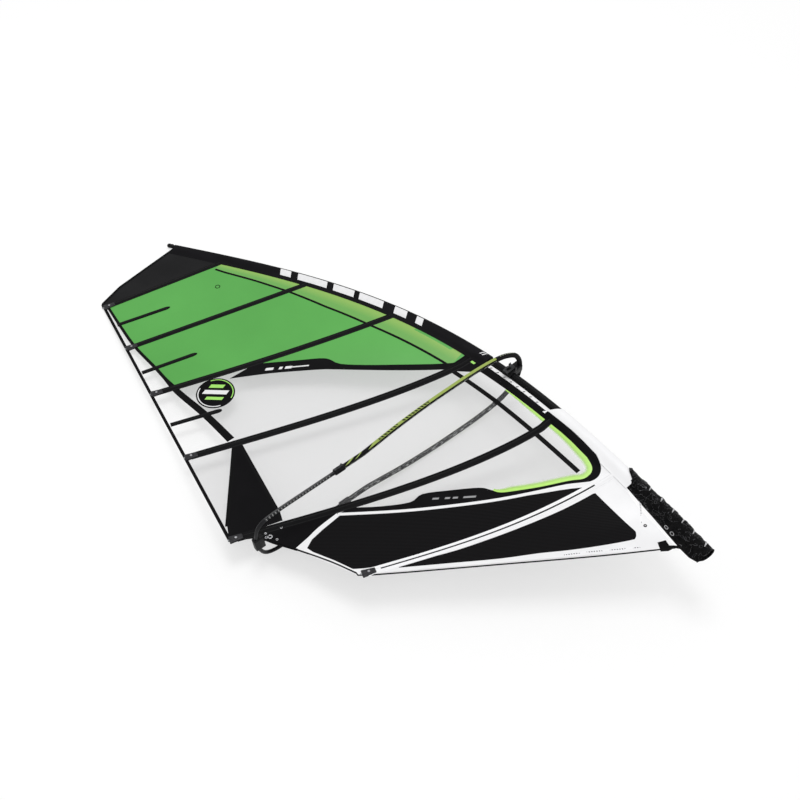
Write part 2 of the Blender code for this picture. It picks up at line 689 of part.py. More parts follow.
def build_boom(rig):
    boom = add_empty("boom_frame", boom_frame(), rig)
    outer, inner = front_rings(GRIP_R), front_rings(ARM_BORE_R)
    add_solid("boom_front", hollow_between(outer, inner), BLACK_GRIP, boom)
    tail = mirrored(TAIL_ROUTE)
    add_solid("tail_tube", hollow_between(route_rings(tail, TAIL_R), route_rings(tail, TAIL_BORE_R)),
              DARK_TUBE, boom)
    for side, turn in (("upper", 0.0), ("lower", math.pi)):
        arm_side = add_empty(f"{side}_arm_frame", Matrix.Rotation(turn, 4, 'X'), boom)
        build_arm(side, arm_side)
    build_head(rig)
    build_tail_fitting(boom)


def whole_loop(radius):
    """Rings from one arm's aft end round the front to the other's, so that their ends match."""
    return route_rings(mirrored(ARM_ROUTE[::-1] + FRONT_ROUTE[1:]), radius)


def front_rings(radius):
    ends = (len(ARM_ROUTE) - 1) * ROUTE_PIECES
    return whole_loop(radius)[ends:-ends]


def arm_rings(radius):
    rings = whole_loop(radius)[:(len(ARM_ROUTE) - 1) * ROUTE_PIECES + 1]
    return rings[:-1] + [[corner + Vector((2 * GAP, 0.0, 0.0)) for corner in rings[-1]]]


def build_arm(side, arm_side):
    """One arm with its collar and the clip that locks the tail tube in it."""
    add_solid(f"arm_{side}", hollow_between(arm_rings(ARM_R), arm_rings(ARM_BORE_R)), LIME_GRIP, arm_side)
    low, high = COLLAR_REACH
    tube_y = ARM_ROUTE[-1][1]
    length, step, edge = high - low, ARM_ROUTE[-1][0] + 2 * GAP - low, 0.002
    wide, narrow = ARM_R + 3 * GAP, TAIL_R + 3 * GAP
    outline = ((wide, 0.0), (COLLAR_R - edge, 0.0), (COLLAR_R, edge), (COLLAR_R, length - edge),
               (COLLAR_R - edge, length), (narrow, length), (narrow, step), (wide, step))
    along_arm = Matrix.Translation((low, tube_y, 0.0)) @ Matrix.Rotation(math.pi / 2, 4, 'Y')
    collar = add_solid(f"collar_{side}", turned(outline), BLACK_PLASTIC, arm_side, along_arm)
    pivot = Vector((CLIP_PIVOT[0], tube_y + CLIP_PIVOT[1], 0.0))
    inside = CLIP_BARREL[1] / 2 + GAP
    for ear in ((inside, CLIP_PIN[1] / 2), (-CLIP_PIN[1] / 2, -inside)):
        shape_with(collar, 'UNION', box((pivot.x - 0.005, pivot.x + 0.005),
                                        (tube_y + COLLAR_R - 0.004, pivot.y + 0.005), ear))
    shape_with(collar, 'DIFFERENCE', rod(CLIP_PIN[0] + PIN_CLEARANCE, 0.03), Matrix.Translation(pivot))
    shape = lever_outline(CLIP_PIN, CLIP_BARREL)
    clip = add_solid(f"clip_{side}", turned(shape), GREY_PLASTIC, arm_side, Matrix.Translation(pivot))
    arm_y = (pivot.y - CLIP_BARREL[0] + 0.001, pivot.y + CLIP_BARREL[0] - 0.001)
    shape_with(clip, 'UNION', box((pivot.x, pivot.x + CLIP_LENGTH), arm_y, both_ways(CLIP_WIDTH / 2)))


def lever_outline(pin, barrel):
    """Outline of a lever's barrel with a pin at each end, as (radius, height)."""
    pin_end, barrel_end = pin[1] / 2 - GAP, barrel[1] / 2
    half = ((barrel[0], barrel_end), (pin[0], barrel_end), (pin[0], pin_end), (0.0, pin_end))
    return tuple((radius, -height) for radius, height in reversed(half)) + half


def build_head(rig):
    """Clamp on the mast with its neck round the front tube, and the lever that shuts it."""
    head = add_empty("head_frame", mast_frame(BOOM_STATION), rig)
    half, edge = CLAMP_HEIGHT / 2, 0.004
    outline = ((CLAMP_BORE, -half), (CLAMP_R - edge, -half), (CLAMP_R, edge - half), (CLAMP_R, half - edge),
               (CLAMP_R - edge, half), (CLAMP_BORE, half))
    clamp = add_solid("head_clamp", turned(outline), BLACK_PLASTIC, head)
    shape_with(clamp, 'UNION', box(NECK_REACH, both_ways(NECK_SIZE[0] / 2), both_ways(NECK_SIZE[1] / 2)))
    x, y = LEVER_PIVOT
    inside = LEVER_BARREL[1] / 2 + GAP
    for ear in ((inside, inside + EAR), (-inside - EAR, -inside)):
        shape_with(clamp, 'UNION', box((x - 0.010, x + 0.010), (0.016, y + 0.0075), ear))
    shape_with(clamp, 'DIFFERENCE', rod(LEVER_PIN[0] + PIN_CLEARANCE, 0.09), Matrix.Translation((x, y, 0)))
    to_head = mast_frame(BOOM_STATION).inverted() @ boom_frame()
    shape_with(clamp, 'DIFFERENCE', solid_between(front_rings(GRIP_R + SADDLE_GAP)), to_head)
    lever = add_solid("clamp_lever", turned(lever_outline(LEVER_PIN, LEVER_BARREL)), GREY_PLASTIC, head,
                      Matrix.Translation((x, y, 0)))
    plate_y = (y - LEVER_BARREL[0] + 0.002, y + LEVER_BARREL[0] - 0.002)
    shape_with(lever, 'UNION', box((x, x + LEVER_LENGTH), plate_y, both_ways(LEVER_WIDTH / 2)))


def sheave_outline():
    half, groove = SHEAVE_WIDTH / 2, 0.0012
    return ((SHEAVE_BORE, -half), (SHEAVE_R, -half), (SHEAVE_GROOVE_R, -groove), (SHEAVE_GROOVE_R, groove),
            (SHEAVE_R, half), (SHEAVE_BORE, half))


def build_tail_fitting(boom):
    """Block round the boom's tail with a pulley in its slot."""
    reach, half_y, half_z = TAIL_BLOCK
    fitting = add_solid("tail_fitting", box(reach, both_ways(half_y), both_ways(half_z)), BLACK_PLASTIC, boom)
    back = mirrored(TAIL_ROUTE)[4:-4]
    shape_with(fitting, 'DIFFERENCE', solid_between(route_rings(back, TAIL_R + SADDLE_GAP)))
    shape_with(fitting, 'DIFFERENCE', box(TAIL_SLOT[0], both_ways(TAIL_SLOT[1]), both_ways(SLOT_WIDTH / 2)))
    at = Matrix.Translation((TAIL_SHEAVE_AT, 0.0, 0.0))
    shape_with(fitting, 'UNION', rod(AXLE_R, SLOT_WIDTH + 0.002), at)
    add_solid("outhaul_sheave", turned(sheave_outline()), GREY_PLASTIC, boom, at)


# Mast foot and lines

def build_foot(rig):
    foot = add_empty("foot_frame", mast_frame(MAST_BOTTOM_END), rig)
    side, square = Vector((1, 0, 0)), Vector((0, 1, 0))
    tube = [[circle(Vector((0, 0, z)), side, square, radius) for z in EXTENSION_REACH]
            for radius in (EXTENSION_R, EXTENSION_BORE)]
    add_solid("extension_tube", hollow_between(*tube), BRIGHT_METAL, foot)
    low, high = CUP_REACH
    floor, web, edge = low + SOCKET_DEPTH, EXTENSION_REACH[0] - GAP, 0.004
    outline = ((SOCKET_R, low), (CUP_R, low), (CUP_R, high - edge), (CUP_R - 0.002, high), (CUP_BORE, high),
               (CUP_BORE, web), (0.0, web), (0.0, floor), (SOCKET_R, floor))
    cup = add_solid("base_cup", turned(outline), BLACK_PLASTIC, foot)
    shape_with(cup, 'UNION', box(CUP_BLOCK[0], both_ways(BLOCK_WIDTH / 2), CUP_BLOCK[1]))
    slot_x = (CUP_R + 0.0055, CUP_BLOCK[0][1] + 0.01)
    shape_with(cup, 'DIFFERENCE', box(slot_x, both_ways(SLOT_WIDTH / 2), (CUP_REACH[0], CUP_REACH[1])))
    across = Matrix.Rotation(math.pi / 2, 4, 'X')
    cup_axle = Matrix.Translation((DOWNHAUL_AFT, 0.0, CUP_SHEAVE_UP)) @ across
    shape_with(cup, 'UNION', rod(AXLE_R, SLOT_WIDTH + 0.002), cup_axle)
    add_solid("base_sheave", turned(sheave_outline()), GREY_PLASTIC, foot, cup_axle)
    block = add_solid("tack_block", box(TACK_BLOCK[0], both_ways(BLOCK_WIDTH / 2), TACK_BLOCK[1]),
                      BLACK_PLASTIC, foot)
    shape_with(block, 'DIFFERENCE', box(TACK_SLOT[0], both_ways(SLOT_WIDTH / 2), TACK_SLOT[1]))
    shape_with(block, 'UNION', box(*STRAP))
    tack_axle = Matrix.Translation((DOWNHAUL_AFT, 0.0, TACK_SHEAVE_UP)) @ across
    shape_with(block, 'UNION', rod(AXLE_R, SLOT_WIDTH + 0.002), tack_axle)
    add_solid("tack_sheave", turned(sheave_outline()), GREY_PLASTIC, foot, tack_axle)
    build_cover(rig)
    return foot


def build_cover(rig):
    """Soft cover, open down its aft side where the tack strap comes out."""
    outer = COVER_HALF[::-1] + tuple((aft, -up) for aft, up in COVER_HALF[1:])
    inner = [(COVER_CENTRE + (aft - COVER_CENTRE) * COVER_INSIDE[0], up * COVER_INSIDE[1])
             for aft, up in reversed(outer)]
    rings = []
    for u, size in COVER_STATIONS:
        rings.append([by_mast(u, aft * size, up * size) for aft, up in list(outer) + inner])
    add_solid("tack_cover", solid_between(rings), NEOPRENE, rig)


def arc(centre, radius, start, end, steps=8):
    turns = [math.radians(turn) for turn in steps_between(start, end, steps)]
    return [(centre[0] + radius * math.cos(turn), centre[1] + radius * math.sin(turn)) for turn in turns]


def add_line(name, points, parent):
    data = bpy.data.curves.new(name, 'CURVE')
    data.dimensions = '3D'
    data.bevel_depth = LINE_R
    data.bevel_resolution = 2
    data.use_fill_caps = True
    spline = data.splines.new('POLY')
    spline.points.add(len(points) - 1)
    for slot, point in zip(spline.points, points):
        slot.co = (*point, 1.0)
    data.materials.append(make_material(name, BLACK_LINE))
    made = bpy.data.objects.new(name, data)
    bpy.context.collection.objects.link(made)
    made.parent = parent


def build_lines(rig, foot):
    """Outhaul from the tail fitting through the clew ring; downhaul between the foot's two pulleys."""
    ring_frame = sail_frame(clew_ring_place())
    bore, groove, wide = 0.0085, 0.0115, 0.0170
    half = ((groove, 0.0030), (wide, 0.0030), (wide, 0.0040), (wide - 0.0015, 0.0055), (bore + 0.002, 0.0055),
            (bore, 0.0040))
    outline = half[::-1] + tuple((radius, -height) for radius, height in half)
    add_solid("clew_ring", turned(outline[::-1]), BRIGHT_METAL, rig, ring_frame)
    ring_y = ring_frame.translation.z
    face, slot_end = TAIL_BLOCK[0][0] - GAP, TAIL_SLOT[1] - GAP
    lead = [(face, 0.042), (2.029, 0.042), (2.012, 0.028), (2.000, 0.012), (1.9925, ring_y + 0.012),
            (1.9900, ring_y + 0.003), (1.9900, ring_y - 0.005), (1.9930, ring_y - 0.0095),
            (2.000, ring_y - 0.0105), (2.012, ring_y - 0.007), (2.030, ring_y + 0.002)]
    wrap = arc((TAIL_SHEAVE_AT, 0.0), LINE_ON_SHEAVE, -90, 0, 6)
    end = [(TAIL_SHEAVE_AT + LINE_ON_SHEAVE, slot_end / 2), (TAIL_SHEAVE_AT + LINE_ON_SHEAVE, slot_end)]
    boom = bpy.data.objects["boom_frame"]
    add_line("outhaul_line", [(x, y, 0.0) for x, y in lead + wrap + end], boom)
    top = arc((DOWNHAUL_AFT, TACK_SHEAVE_UP), LINE_ON_SHEAVE, 180, 0, 12)
    bottom = arc((DOWNHAUL_AFT, CUP_SHEAVE_UP), LINE_ON_SHEAVE, 0, -90, 6)
    fore = DOWNHAUL_AFT - LINE_ON_SHEAVE
    start = [(0.0277, CUP_BLOCK[1][1] + GAP), (fore, -0.030)]
    finish = [(CUP_R + 0.0055 + GAP, CUP_SHEAVE_UP - LINE_ON_SHEAVE)]
    add_line("downhaul_line", [(x, 0.0, z) for x, z in start + top + bottom + finish], foot)


# Laying the rig down

def laid_down():
    """Half a turn, so that +X runs from the head to the foot, then a tilt onto the rest points."""
    half_turn = Matrix.Rotation(math.pi, 4, 'Z')
    first, second, third = (half_turn @ Vector(point) for point in REST_POINTS)
    square = (second - first).cross(third - first)
    square *= math.copysign(1.0, square.z)
    return square.rotation_difference(Vector((0, 0, 1))).to_matrix().to_4x4() @ half_turn


def stand_on_origin(rig):
    """Shift the rig so that its box stands on the origin."""
    bpy.context.view_layer.update()
    depsgraph = bpy.context.evaluated_depsgraph_get()
    corners = []
    for item in bpy.data.objects:
        if item.type != 'EMPTY' and not item.hide_render:
            shape = item.evaluated_get(depsgraph).to_mesh()
            corners += [item.matrix_world @ vert.co for vert in shape.vertices]
    low = Vector([min(corner[axis] for corner in corners) for axis in range(3)])
    high = Vector([max(corner[axis] for corner in corners) for axis in range(3)])
    rig.location -= Vector(((low.x + high.x) / 2, (low.y + high.y) / 2, low.z))


clear_scene()
rig_frame = add_empty("rig_frame", laid_down())
build_upper_panels(rig_frame)
build_foot_panels(rig_frame)
build_battens(rig_frame)
build_sleeves(rig_frame)
build_mast(rig_frame)
build_boom(rig_frame)
build_lines(rig_frame, build_foot(rig_frame))
stand_on_origin(rig_frame)
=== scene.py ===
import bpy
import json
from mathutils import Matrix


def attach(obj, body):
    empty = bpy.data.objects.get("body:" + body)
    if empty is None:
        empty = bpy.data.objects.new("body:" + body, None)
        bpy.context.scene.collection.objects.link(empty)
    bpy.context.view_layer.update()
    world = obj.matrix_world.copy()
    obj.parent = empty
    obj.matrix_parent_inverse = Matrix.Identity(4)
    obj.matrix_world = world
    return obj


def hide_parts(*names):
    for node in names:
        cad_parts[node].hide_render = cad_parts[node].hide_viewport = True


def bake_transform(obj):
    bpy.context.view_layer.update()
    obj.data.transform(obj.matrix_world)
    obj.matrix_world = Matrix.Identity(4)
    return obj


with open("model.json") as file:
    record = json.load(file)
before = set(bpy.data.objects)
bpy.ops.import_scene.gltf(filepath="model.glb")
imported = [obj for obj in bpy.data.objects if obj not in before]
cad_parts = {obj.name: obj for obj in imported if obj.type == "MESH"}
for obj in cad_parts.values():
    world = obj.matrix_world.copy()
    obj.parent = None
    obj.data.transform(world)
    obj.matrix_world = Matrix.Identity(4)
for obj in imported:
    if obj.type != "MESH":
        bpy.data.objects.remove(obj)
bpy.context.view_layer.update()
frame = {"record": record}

import json
import math

import bpy
import numpy as np
from mathutils import Matrix, Vector, noise
from mathutils.geometry import delaunay_2d_cdt

bpy.ops.object.select_all(action='DESELECT')


# The rig is measured from its bent mast: U runs up the mast's chord from the tack, V runs aft to the
# clew and W stands square to the sail. It lies on its lower boom arm, the mast's tip and the head's
# leech corner, and the mast foot's end face, which the frame states, says where.
MAST_FOOT = (-0.14, -0.067)
MAST_TIP = (4.57, -0.015)
MAST_BEND = 0.53
MAST_FOOT_R = 0.0265
MAST_TIP_R = 0.0105
MAST_TAPER = 1.6
MAST_BOTTOM_END = 0.10
FOOT_FACE_AT = (0.0165, 0.0, -0.250)
REST_POINTS = ((1.721, 0.156, -0.2615), (4.413, 0.781, -0.0075), (4.571, -0.0145, -0.018))


def steps_between(start, end, count):
    return [start + (end - start) * step / count for step in range(count + 1)]


def vectors(points):
    return [Vector(point) for point in points]


def left_of(ahead):
    return Vector((-ahead.y, ahead.x))


def mast_share(u):
    return (u - MAST_FOOT[0]) / (MAST_TIP[0] - MAST_FOOT[0])


def mast_v(u):
    share = mast_share(u)
    return MAST_FOOT[1] + (MAST_TIP[1] - MAST_FOOT[1]) * share - MAST_BEND * math.sin(math.pi * share)


def mast_radius(u):
    return MAST_FOOT_R + (MAST_TIP_R - MAST_FOOT_R) * max(mast_share(u), 0.0) ** MAST_TAPER


def mast_axes(u):
    step = 0.001
    along = Vector((2 * step, mast_v(u + step) - mast_v(u - step), 0.0)).normalized()
    return along, Vector((-along.y, along.x, 0.0))


def by_mast(u, aft=0.0, up=0.0):
    return Vector((u, mast_v(u), up)) + mast_axes(u)[1] * aft


def mast_frame(u):
    """Frame on the mast: X aft, Y square to the sail, Z up the mast."""
    along, side = mast_axes(u)
    turn = Matrix((side, Vector((0.0, 0.0, 1.0)), along)).transposed().to_4x4()
    return Matrix.Translation(by_mast(u)) @ turn


def laid_down():
    """Half a turn, so that the foot is at +X, then a tilt onto the three rest points."""
    half_turn = Matrix.Rotation(math.pi, 4, 'Z')
    first, second, third = (half_turn @ Vector(point) for point in REST_POINTS)
    square = (second - first).cross(third - first)
    square *= math.copysign(1.0, square.z)
    return square.rotation_difference(Vector((0, 0, 1))).to_matrix().to_4x4() @ half_turn


foot_face = Vector(frame["record"]["mounts"][0]["pos_m"])
rig = laid_down()
rig.translation = foot_face - rig @ (mast_frame(MAST_BOTTOM_END) @ Vector(FOOT_FACE_AT))


# Clear and green polyester film, cut row by row between the battens and stretched by the mast's
# bend. The rows meet under the batten pockets, and below the boom they hang in a shallow hollow.
SEAM_AFT = 0.085
CLOTH_AFT = 0.076
FILM = 0.0008
SAME_SPOT = 0.0002
CLOTH_STEP = 0.025
BATTEN_SLOPE = 0.5
TACK_CORNER = (0.02, 0.003)
FOOT_CORNER = (1.37, 1.29)
LEECH_BASE = (2.14, 1.60)
LEECH_TOP = (4.43, 0.77)
DRAFT = 0.12
DRAFT_HEIGHT = 1.35
DRAFT_SPREAD = 1.0
DRAFT_SKEW = 0.76
FULL_DRAFT_CHORD = 0.7
BATTEN_LUFF = (4.098, 3.371, 2.608, 1.869, 1.115, 0.560)
BATTEN_LEECH = ((4.41, 0.777), (3.93, 0.951), (3.44, 1.129), (2.83, 1.350), (2.14, 1.600), (1.355, 1.275))
LEECH_TAPE = ((4.385, 0.752), (4.17, 0.818), (3.90, 0.893), (3.61, 0.940), (3.32, 0.990), (3.00, 1.012),
              (2.66, 1.055))
BAND_TOP = ((3.075, 0.475), (2.85, 0.25), (2.75, 0.15), (2.69, 0.112), (2.60, 0.095), (2.45, -0.01),
            (2.26, -0.16), (2.03, -0.335), (1.95, -0.40))
BAND_LOW = ((3.115, 0.680), (2.93, 0.470), (2.78, 0.320), (2.67, 0.215), (2.57, 0.135), (2.06, -0.25),
            (1.92, -0.36), (1.80, -0.455))
BAND_PAIRS = (((3.10, 0.55), (3.10, 0.62)), (BAND_TOP[1], BAND_LOW[1]), (BAND_TOP[2], BAND_LOW[2]),
              (BAND_TOP[4], BAND_LOW[4]), (BAND_TOP[6], (2.16, -0.175)), (BAND_TOP[7], BAND_LOW[6]),
              (BAND_TOP[8], BAND_LOW[7]))
BAND_START_V = 0.585
GREEN_END_U = 1.915
TAPE_SPANS = ((4.40, 3.90), (3.91, 3.36), (3.36, 2.66))
GREEN = (0.082, 0.382, 0.060)
GREEN_DEEP = (0.064, 0.320, 0.046)
CLEAR = (0.24, 0.24, 0.25)
CLEAR_HIDES = 0.125


def leech_v(station):
    """V of the sail's free edge on the batten line that crosses the chord at this station."""
    corners = (TACK_CORNER, FOOT_CORNER, LEECH_BASE, LEECH_TOP)
    marks = [u - BATTEN_SLOPE * v for u, v in corners]
    part = 0 if station < marks[1] else 1 if station < marks[2] else 2
    share = (station - marks[part]) / (marks[part + 1] - marks[part])
    return corners[part][1] + share * (corners[part + 1][1] - corners[part][1])


def luff_v(station):
    v = mast_v(station)
    for _ in range(8):
        v = mast_v(station + BATTEN_SLOPE * v) + SEAM_AFT
    return v


def sail_w(u, v):
    station = u - BATTEN_SLOPE * v
    luff = luff_v(station)
    chord = max(leech_v(station) - luff, 0.05)
    share = min(max((v - luff) / chord, 0.0), 1.0)
    depth = DRAFT * math.exp(-((station - DRAFT_HEIGHT) / DRAFT_SPREAD) ** 2)
    return -depth * min(chord / FULL_DRAFT_CHORD, 1.0) * math.sin(math.pi * share ** DRAFT_SKEW)


def on_sail(u, v):
    return Vector((u, v, sail_w(u, v)))


def through(points, pieces=6):
    """Smooth line through the points, bending evenly at each."""
    points = vectors(points)
    ends = [2 * points[0] - points[1]] + points + [2 * points[-1] - points[-2]]
    line = [points[0]]
    for before, start, end, after in zip(ends, ends[1:], ends[2:], ends[3:]):
        for t in steps_between(0.0, 1.0, pieces)[1:]:
            bend = 2 * before - 5 * start + 4 * end - after
            line.append((2 * start + (end - before) * t + bend * t ** 2
                         + (3 * start - before - 3 * end + after) * t ** 3) / 2)
    return line


def luff_line(start, end, aft=CLOTH_AFT, count=10):
    return [by_mast(u, aft).xy for u in steps_between(start, end, count)]


def on_batten(number, share):
    return by_mast(BATTEN_LUFF[number], CLOTH_AFT).xy.lerp(Vector(BATTEN_LEECH[number]), share)


def batten_share(number, v):
    """Share of a batten's length at which it reaches this V."""
    start = by_mast(BATTEN_LUFF[number], CLOTH_AFT).y
    return (v - start) / (BATTEN_LEECH[number][1] - start)


def batten_at(number, v):
    """Point of a batten's line at this V."""
    return on_batten(number, batten_share(number, v))


def gone_along(line):
    """Distance from the start of a line to each of its points."""
    gone = [0.0]
    for start, end in zip(line, line[1:]):
        gone.append(gone[-1] + (end - start).length)
    return gone


def even_loop(outline, step):
    """The outline with its points no further apart than the step."""
    corners = [Vector(point[:2]) for point in outline]
    corners = [here for here, after in zip(corners, corners[1:] + corners[:1])
               if (after - here).length > SAME_SPOT]
    loop = []
    for start, end in zip(corners, corners[1:] + corners[:1]):
        count = max(1, math.ceil((end - start).length / step))
        loop += [start.lerp(end, part / count) for part in range(count)]
    return loop


def cut_size(loop):
    """Width, length and area of the smallest straight-sided cloth that the cut comes from; a curved
    strip counts as the straight strip it was cut and pieced from."""
    area = abs(sum(a.x * b.y - b.x * a.y for a, b in zip(loop, loop[1:] + loop[:1]))) / 2
    best = None
    for turn in range(0, 90, 3):
        aim = Vector((math.cos(math.radians(turn)), math.sin(math.radians(turn))))
        reach = [[point.dot(axis) for point in loop] for axis in (aim, left_of(aim))]
        sides = sorted(max(row) - min(row) for row in reach)
        if best is None or sides[0] * sides[1] < best[0] * best[1]:
            best = sides
    long = gone_along(loop + loop[:1])[-1] / 2
    wide, long = best if area > 0.35 * best[0] * best[1] else (area / long, long)
    wide, long = round(wide, 3), round(long, 3)
    return wide, long, min(round(area, 4), wide * long)


def cover_object(name, verts, faces, uvs, finish):
    """Mesh from points in the rig's frame, with its pattern's own UV map."""
    mesh = bpy.data.meshes.new(name)
    mesh.from_pydata([rig @ vert for vert in verts], [], faces)
    pattern = mesh.uv_layers.new(name="cut")
    for corner in mesh.loops:
        pattern.data[corner.index].uv = uvs[corner.vertex_index]
    mesh.materials.append(finish)
    made = bpy.data.objects.new(name, mesh)
    bpy.context.collection.objects.link(made)
    return made


def apply_step(made, kind, **settings):
    step = made.modifiers.new(kind, kind)
    for key, value in settings.items():
        setattr(step, key, value)
    bpy.context.view_layer.objects.active = made
    bpy.ops.object.modifier_apply(modifier=step.name)


def finish_piece(made, nodes=(), body="root", sharp=40):
    made.data.shade_smooth()
    made.data.set_sharp_from_angle(angle=math.radians(sharp))
    if body:
        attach(made, body)
    if nodes:
        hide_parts(*nodes)
    return made


cloths = []
trims = []


def cut_cloth(name, outline, finish, nodes=(), surface=on_sail, thickness=FILM, sheet=True,
              step=CLOTH_STEP, held_by=("upper_sleeve", "lower_sleeve")):
    """Cloth of this outline laid on a curved surface, as thick as its thread or film."""
    loop = even_loop(outline, step)
    edge = np.array([tuple(point) for point in loop])
    low, high = edge.min(axis=0), edge.max(axis=0)
    points = list(loop)
    for x in np.arange(low[0] + step / 2, high[0], step):
        for y in np.arange(low[1] + step / 2, high[1], step):
            if np.hypot(edge[:, 0] - x, edge[:, 1] - y).min() > 0.45 * step:
                points.append(Vector((x, y)))
    found, _, faces = delaunay_2d_cdt(points, [], [list(range(len(loop)))], 1, 1e-6)[:3]
    used = sorted({index for face in faces for index in face})
    place = {index: at for at, index in enumerate(used)}
    uvs = [found[index] for index in used]
    made = cover_object(name, [surface(*point) for point in uvs],
                        [[place[index] for index in face] for face in faces], uvs, finish)
    apply_step(made, 'SOLIDIFY', thickness=thickness, offset=0.0)
    finish_piece(made, nodes)
    if sheet:
        cloths.append((made, loop, cut_size(loop), held_by))
    else:
        trims.append((made, surface(*(sum(loop, Vector((0.0, 0.0))) / len(loop))).xy))
    return made


def shader_of(made):
    return made.node_tree.nodes["Principled BSDF"]


def new_finish(name, colour, roughness, metallic=0.0, gloss=0.5):
    made = bpy.data.materials.new(name)
    made.use_nodes = True
    for socket, value in (("Base Color", (*colour, 1.0)), ("Roughness", roughness), ("Metallic", metallic),
                          ("Specular IOR Level", gloss)):
        shader_of(made).inputs[socket].default_value = value
    return made


def add_node(made, kind, inputs=(), **settings):
    node = made.node_tree.nodes.new("ShaderNode" + kind)
    for key, value in settings.items():
        setattr(node, key, value)
    for key, value in dict(inputs).items():
        if isinstance(value, bpy.types.NodeSocket):
            made.node_tree.links.new(value, node.inputs[key])
        else:
            node.inputs[key].default_value = value
    return node


def connect(made, out, socket):
    made.node_tree.links.new(out, shader_of(made).inputs[socket])


def pattern_map(made, on_object, scale=(1.0, 1.0, 1.0), turn=0.0):
    """Where a pattern lies: on the piece's own UV map, or in its place in space."""
    places = add_node(made, "TexCoord")
    out = places.outputs["Object" if on_object else "UV"]
    return add_node(made, "Mapping", {"Vector": out, "Scale": scale, "Rotation": (0.0, 0.0, turn)}).outputs[0]


def spot_on(made, place):
    """The two coordinates of a place on a piece's UV map."""
    parts = add_node(made, "SeparateXYZ", {"Vector": place})
    return parts.outputs["X"], parts.outputs["Y"]


def figure(made, operation, *values):
    return add_node(made, "Math", dict(enumerate(values)), operation=operation).outputs[0]


def clouds(made, place, scale, detail=2.0, distortion=0.0):
    """Soft random pattern."""
    inputs = {"Vector": place, "Scale": scale, "Detail": detail, "Distortion": distortion}
    return add_node(made, "TexNoise", inputs).outputs["Fac"]


def waves(made, place, scale, way='X', distortion=0.0, detail=2.0, offset=0.0):
    """Even bands that follow each other along X or Y."""
    inputs = {"Vector": place, "Scale": scale, "Distortion": distortion, "Detail": detail,
              "Phase Offset": offset}
    return add_node(made, "TexWave", inputs, bands_direction=way).outputs["Fac"]


def shade(colour, share):
    return tuple(share * part for part in colour)


def two_tone(made, share, low, high):
    """One colour, or the other where the share is 1."""
    mix = add_node(made, "Mix", {0: share}, data_type='RGBA')
    for place, colour in ((6, low), (7, high)):
        if isinstance(colour, tuple):
            mix.inputs[place].default_value = (*colour, 1.0)
        else:
            made.node_tree.links.new(colour, mix.inputs[place])
    return mix.outputs[2]


def ramp(made, factor, stops):
    """Colour ramp through (place, colour) stops."""
    node = add_node(made, "ValToRGB", {"Fac": factor})
    marks = node.color_ramp.elements
    while len(marks) < len(stops):
        marks.new(0.5)
    for mark, (place, colour) in zip(marks, stops):
        mark.position = place
        mark.color = (*colour, 1.0)
    return node.outputs["Color"]


def mottled(made, vector, scale, low, high, detail=4.0):
    """Base colour that drifts between two shades, as film and dyed cloth do."""
    return ramp(made, clouds(made, vector, scale, detail), ((0.30, low), (0.72, high)))


def bumped(made, height, strength, distance):
    bump = add_node(made, "Bump", {"Height": height, "Strength": strength, "Distance": distance})
    connect(made, bump.outputs["Normal"], "Normal")


def film_finish(name, low, high, roughness):
    """Film with a faint laid-in grid of threads and soft creases."""
    made = new_finish(name, high, roughness)
    place = pattern_map(made, False)
    connect(made, mottled(made, place, 1.3, low, high), "Base Color")
    bumped(made, clouds(made, place, 5.0, distortion=0.6), 0.10, 0.010)
    return made


def clear_finish(name, colour, hides):
    """See-through film: part of the light passes straight on, the rest is the film's own haze."""
    made = film_finish(name, shade(colour, 0.93), colour, 0.22)
    shader_of(made).inputs["Alpha"].default_value = hides
    return made


green_film = film_finish("green_film_finish", GREEN_DEEP, GREEN, 0.38)
clear_film = clear_finish("clear_film_finish", CLEAR, CLEAR_HIDES)
leech_film = clear_finish("leech_film_finish", (0.80, 0.80, 0.80), 0.05)

leech_tape = through(LEECH_TAPE)
band_middle = [(Vector(top) + Vector(low)) / 2 for top, low in BAND_PAIRS]


def tape_between(high, low):
    return [point for point in leech_tape if low <= point.x <= high]


def row_outline(upper, lower, tape=None):
    """Outline of the film between two battens, out to the leech or to the inner leech tape."""
    luff = luff_line(BATTEN_LUFF[lower], BATTEN_LUFF[upper])
    if tape is None:
        return luff + [on_batten(upper, 1.0), on_batten(lower, 1.0)]
    return luff + [batten_at(upper, tape[0].y)] + tape[1:-1] + [batten_at(lower, tape[-1].y)]


def leech_outline(upper, lower, tape):
    """Outline of the narrow clear strip between the inner tape and the leech."""
    top = [batten_at(upper, tape[0].y), on_batten(upper, 1.0)]
    return top + [on_batten(lower, 1.0), batten_at(lower, tape[-1].y)] + tape[1:-1][::-1]


for upper, lower, node in ((0, 1, "upper_panel"), (1, 2, "green_panel")):
    tape = tape_between(*TAPE_SPANS[upper])
    pocket_names = [f"sewn_pocket_{number + 1}" for number in (upper, lower)]
    cut_cloth(f"green_film_row_{lower}", row_outline(upper, lower, tape), green_film, (node,),
              held_by=["upper_sleeve"] + pocket_names)
    cut_cloth(f"leech_film_row_{lower}", leech_outline(upper, lower, tape), leech_film,
              held_by=pocket_names)

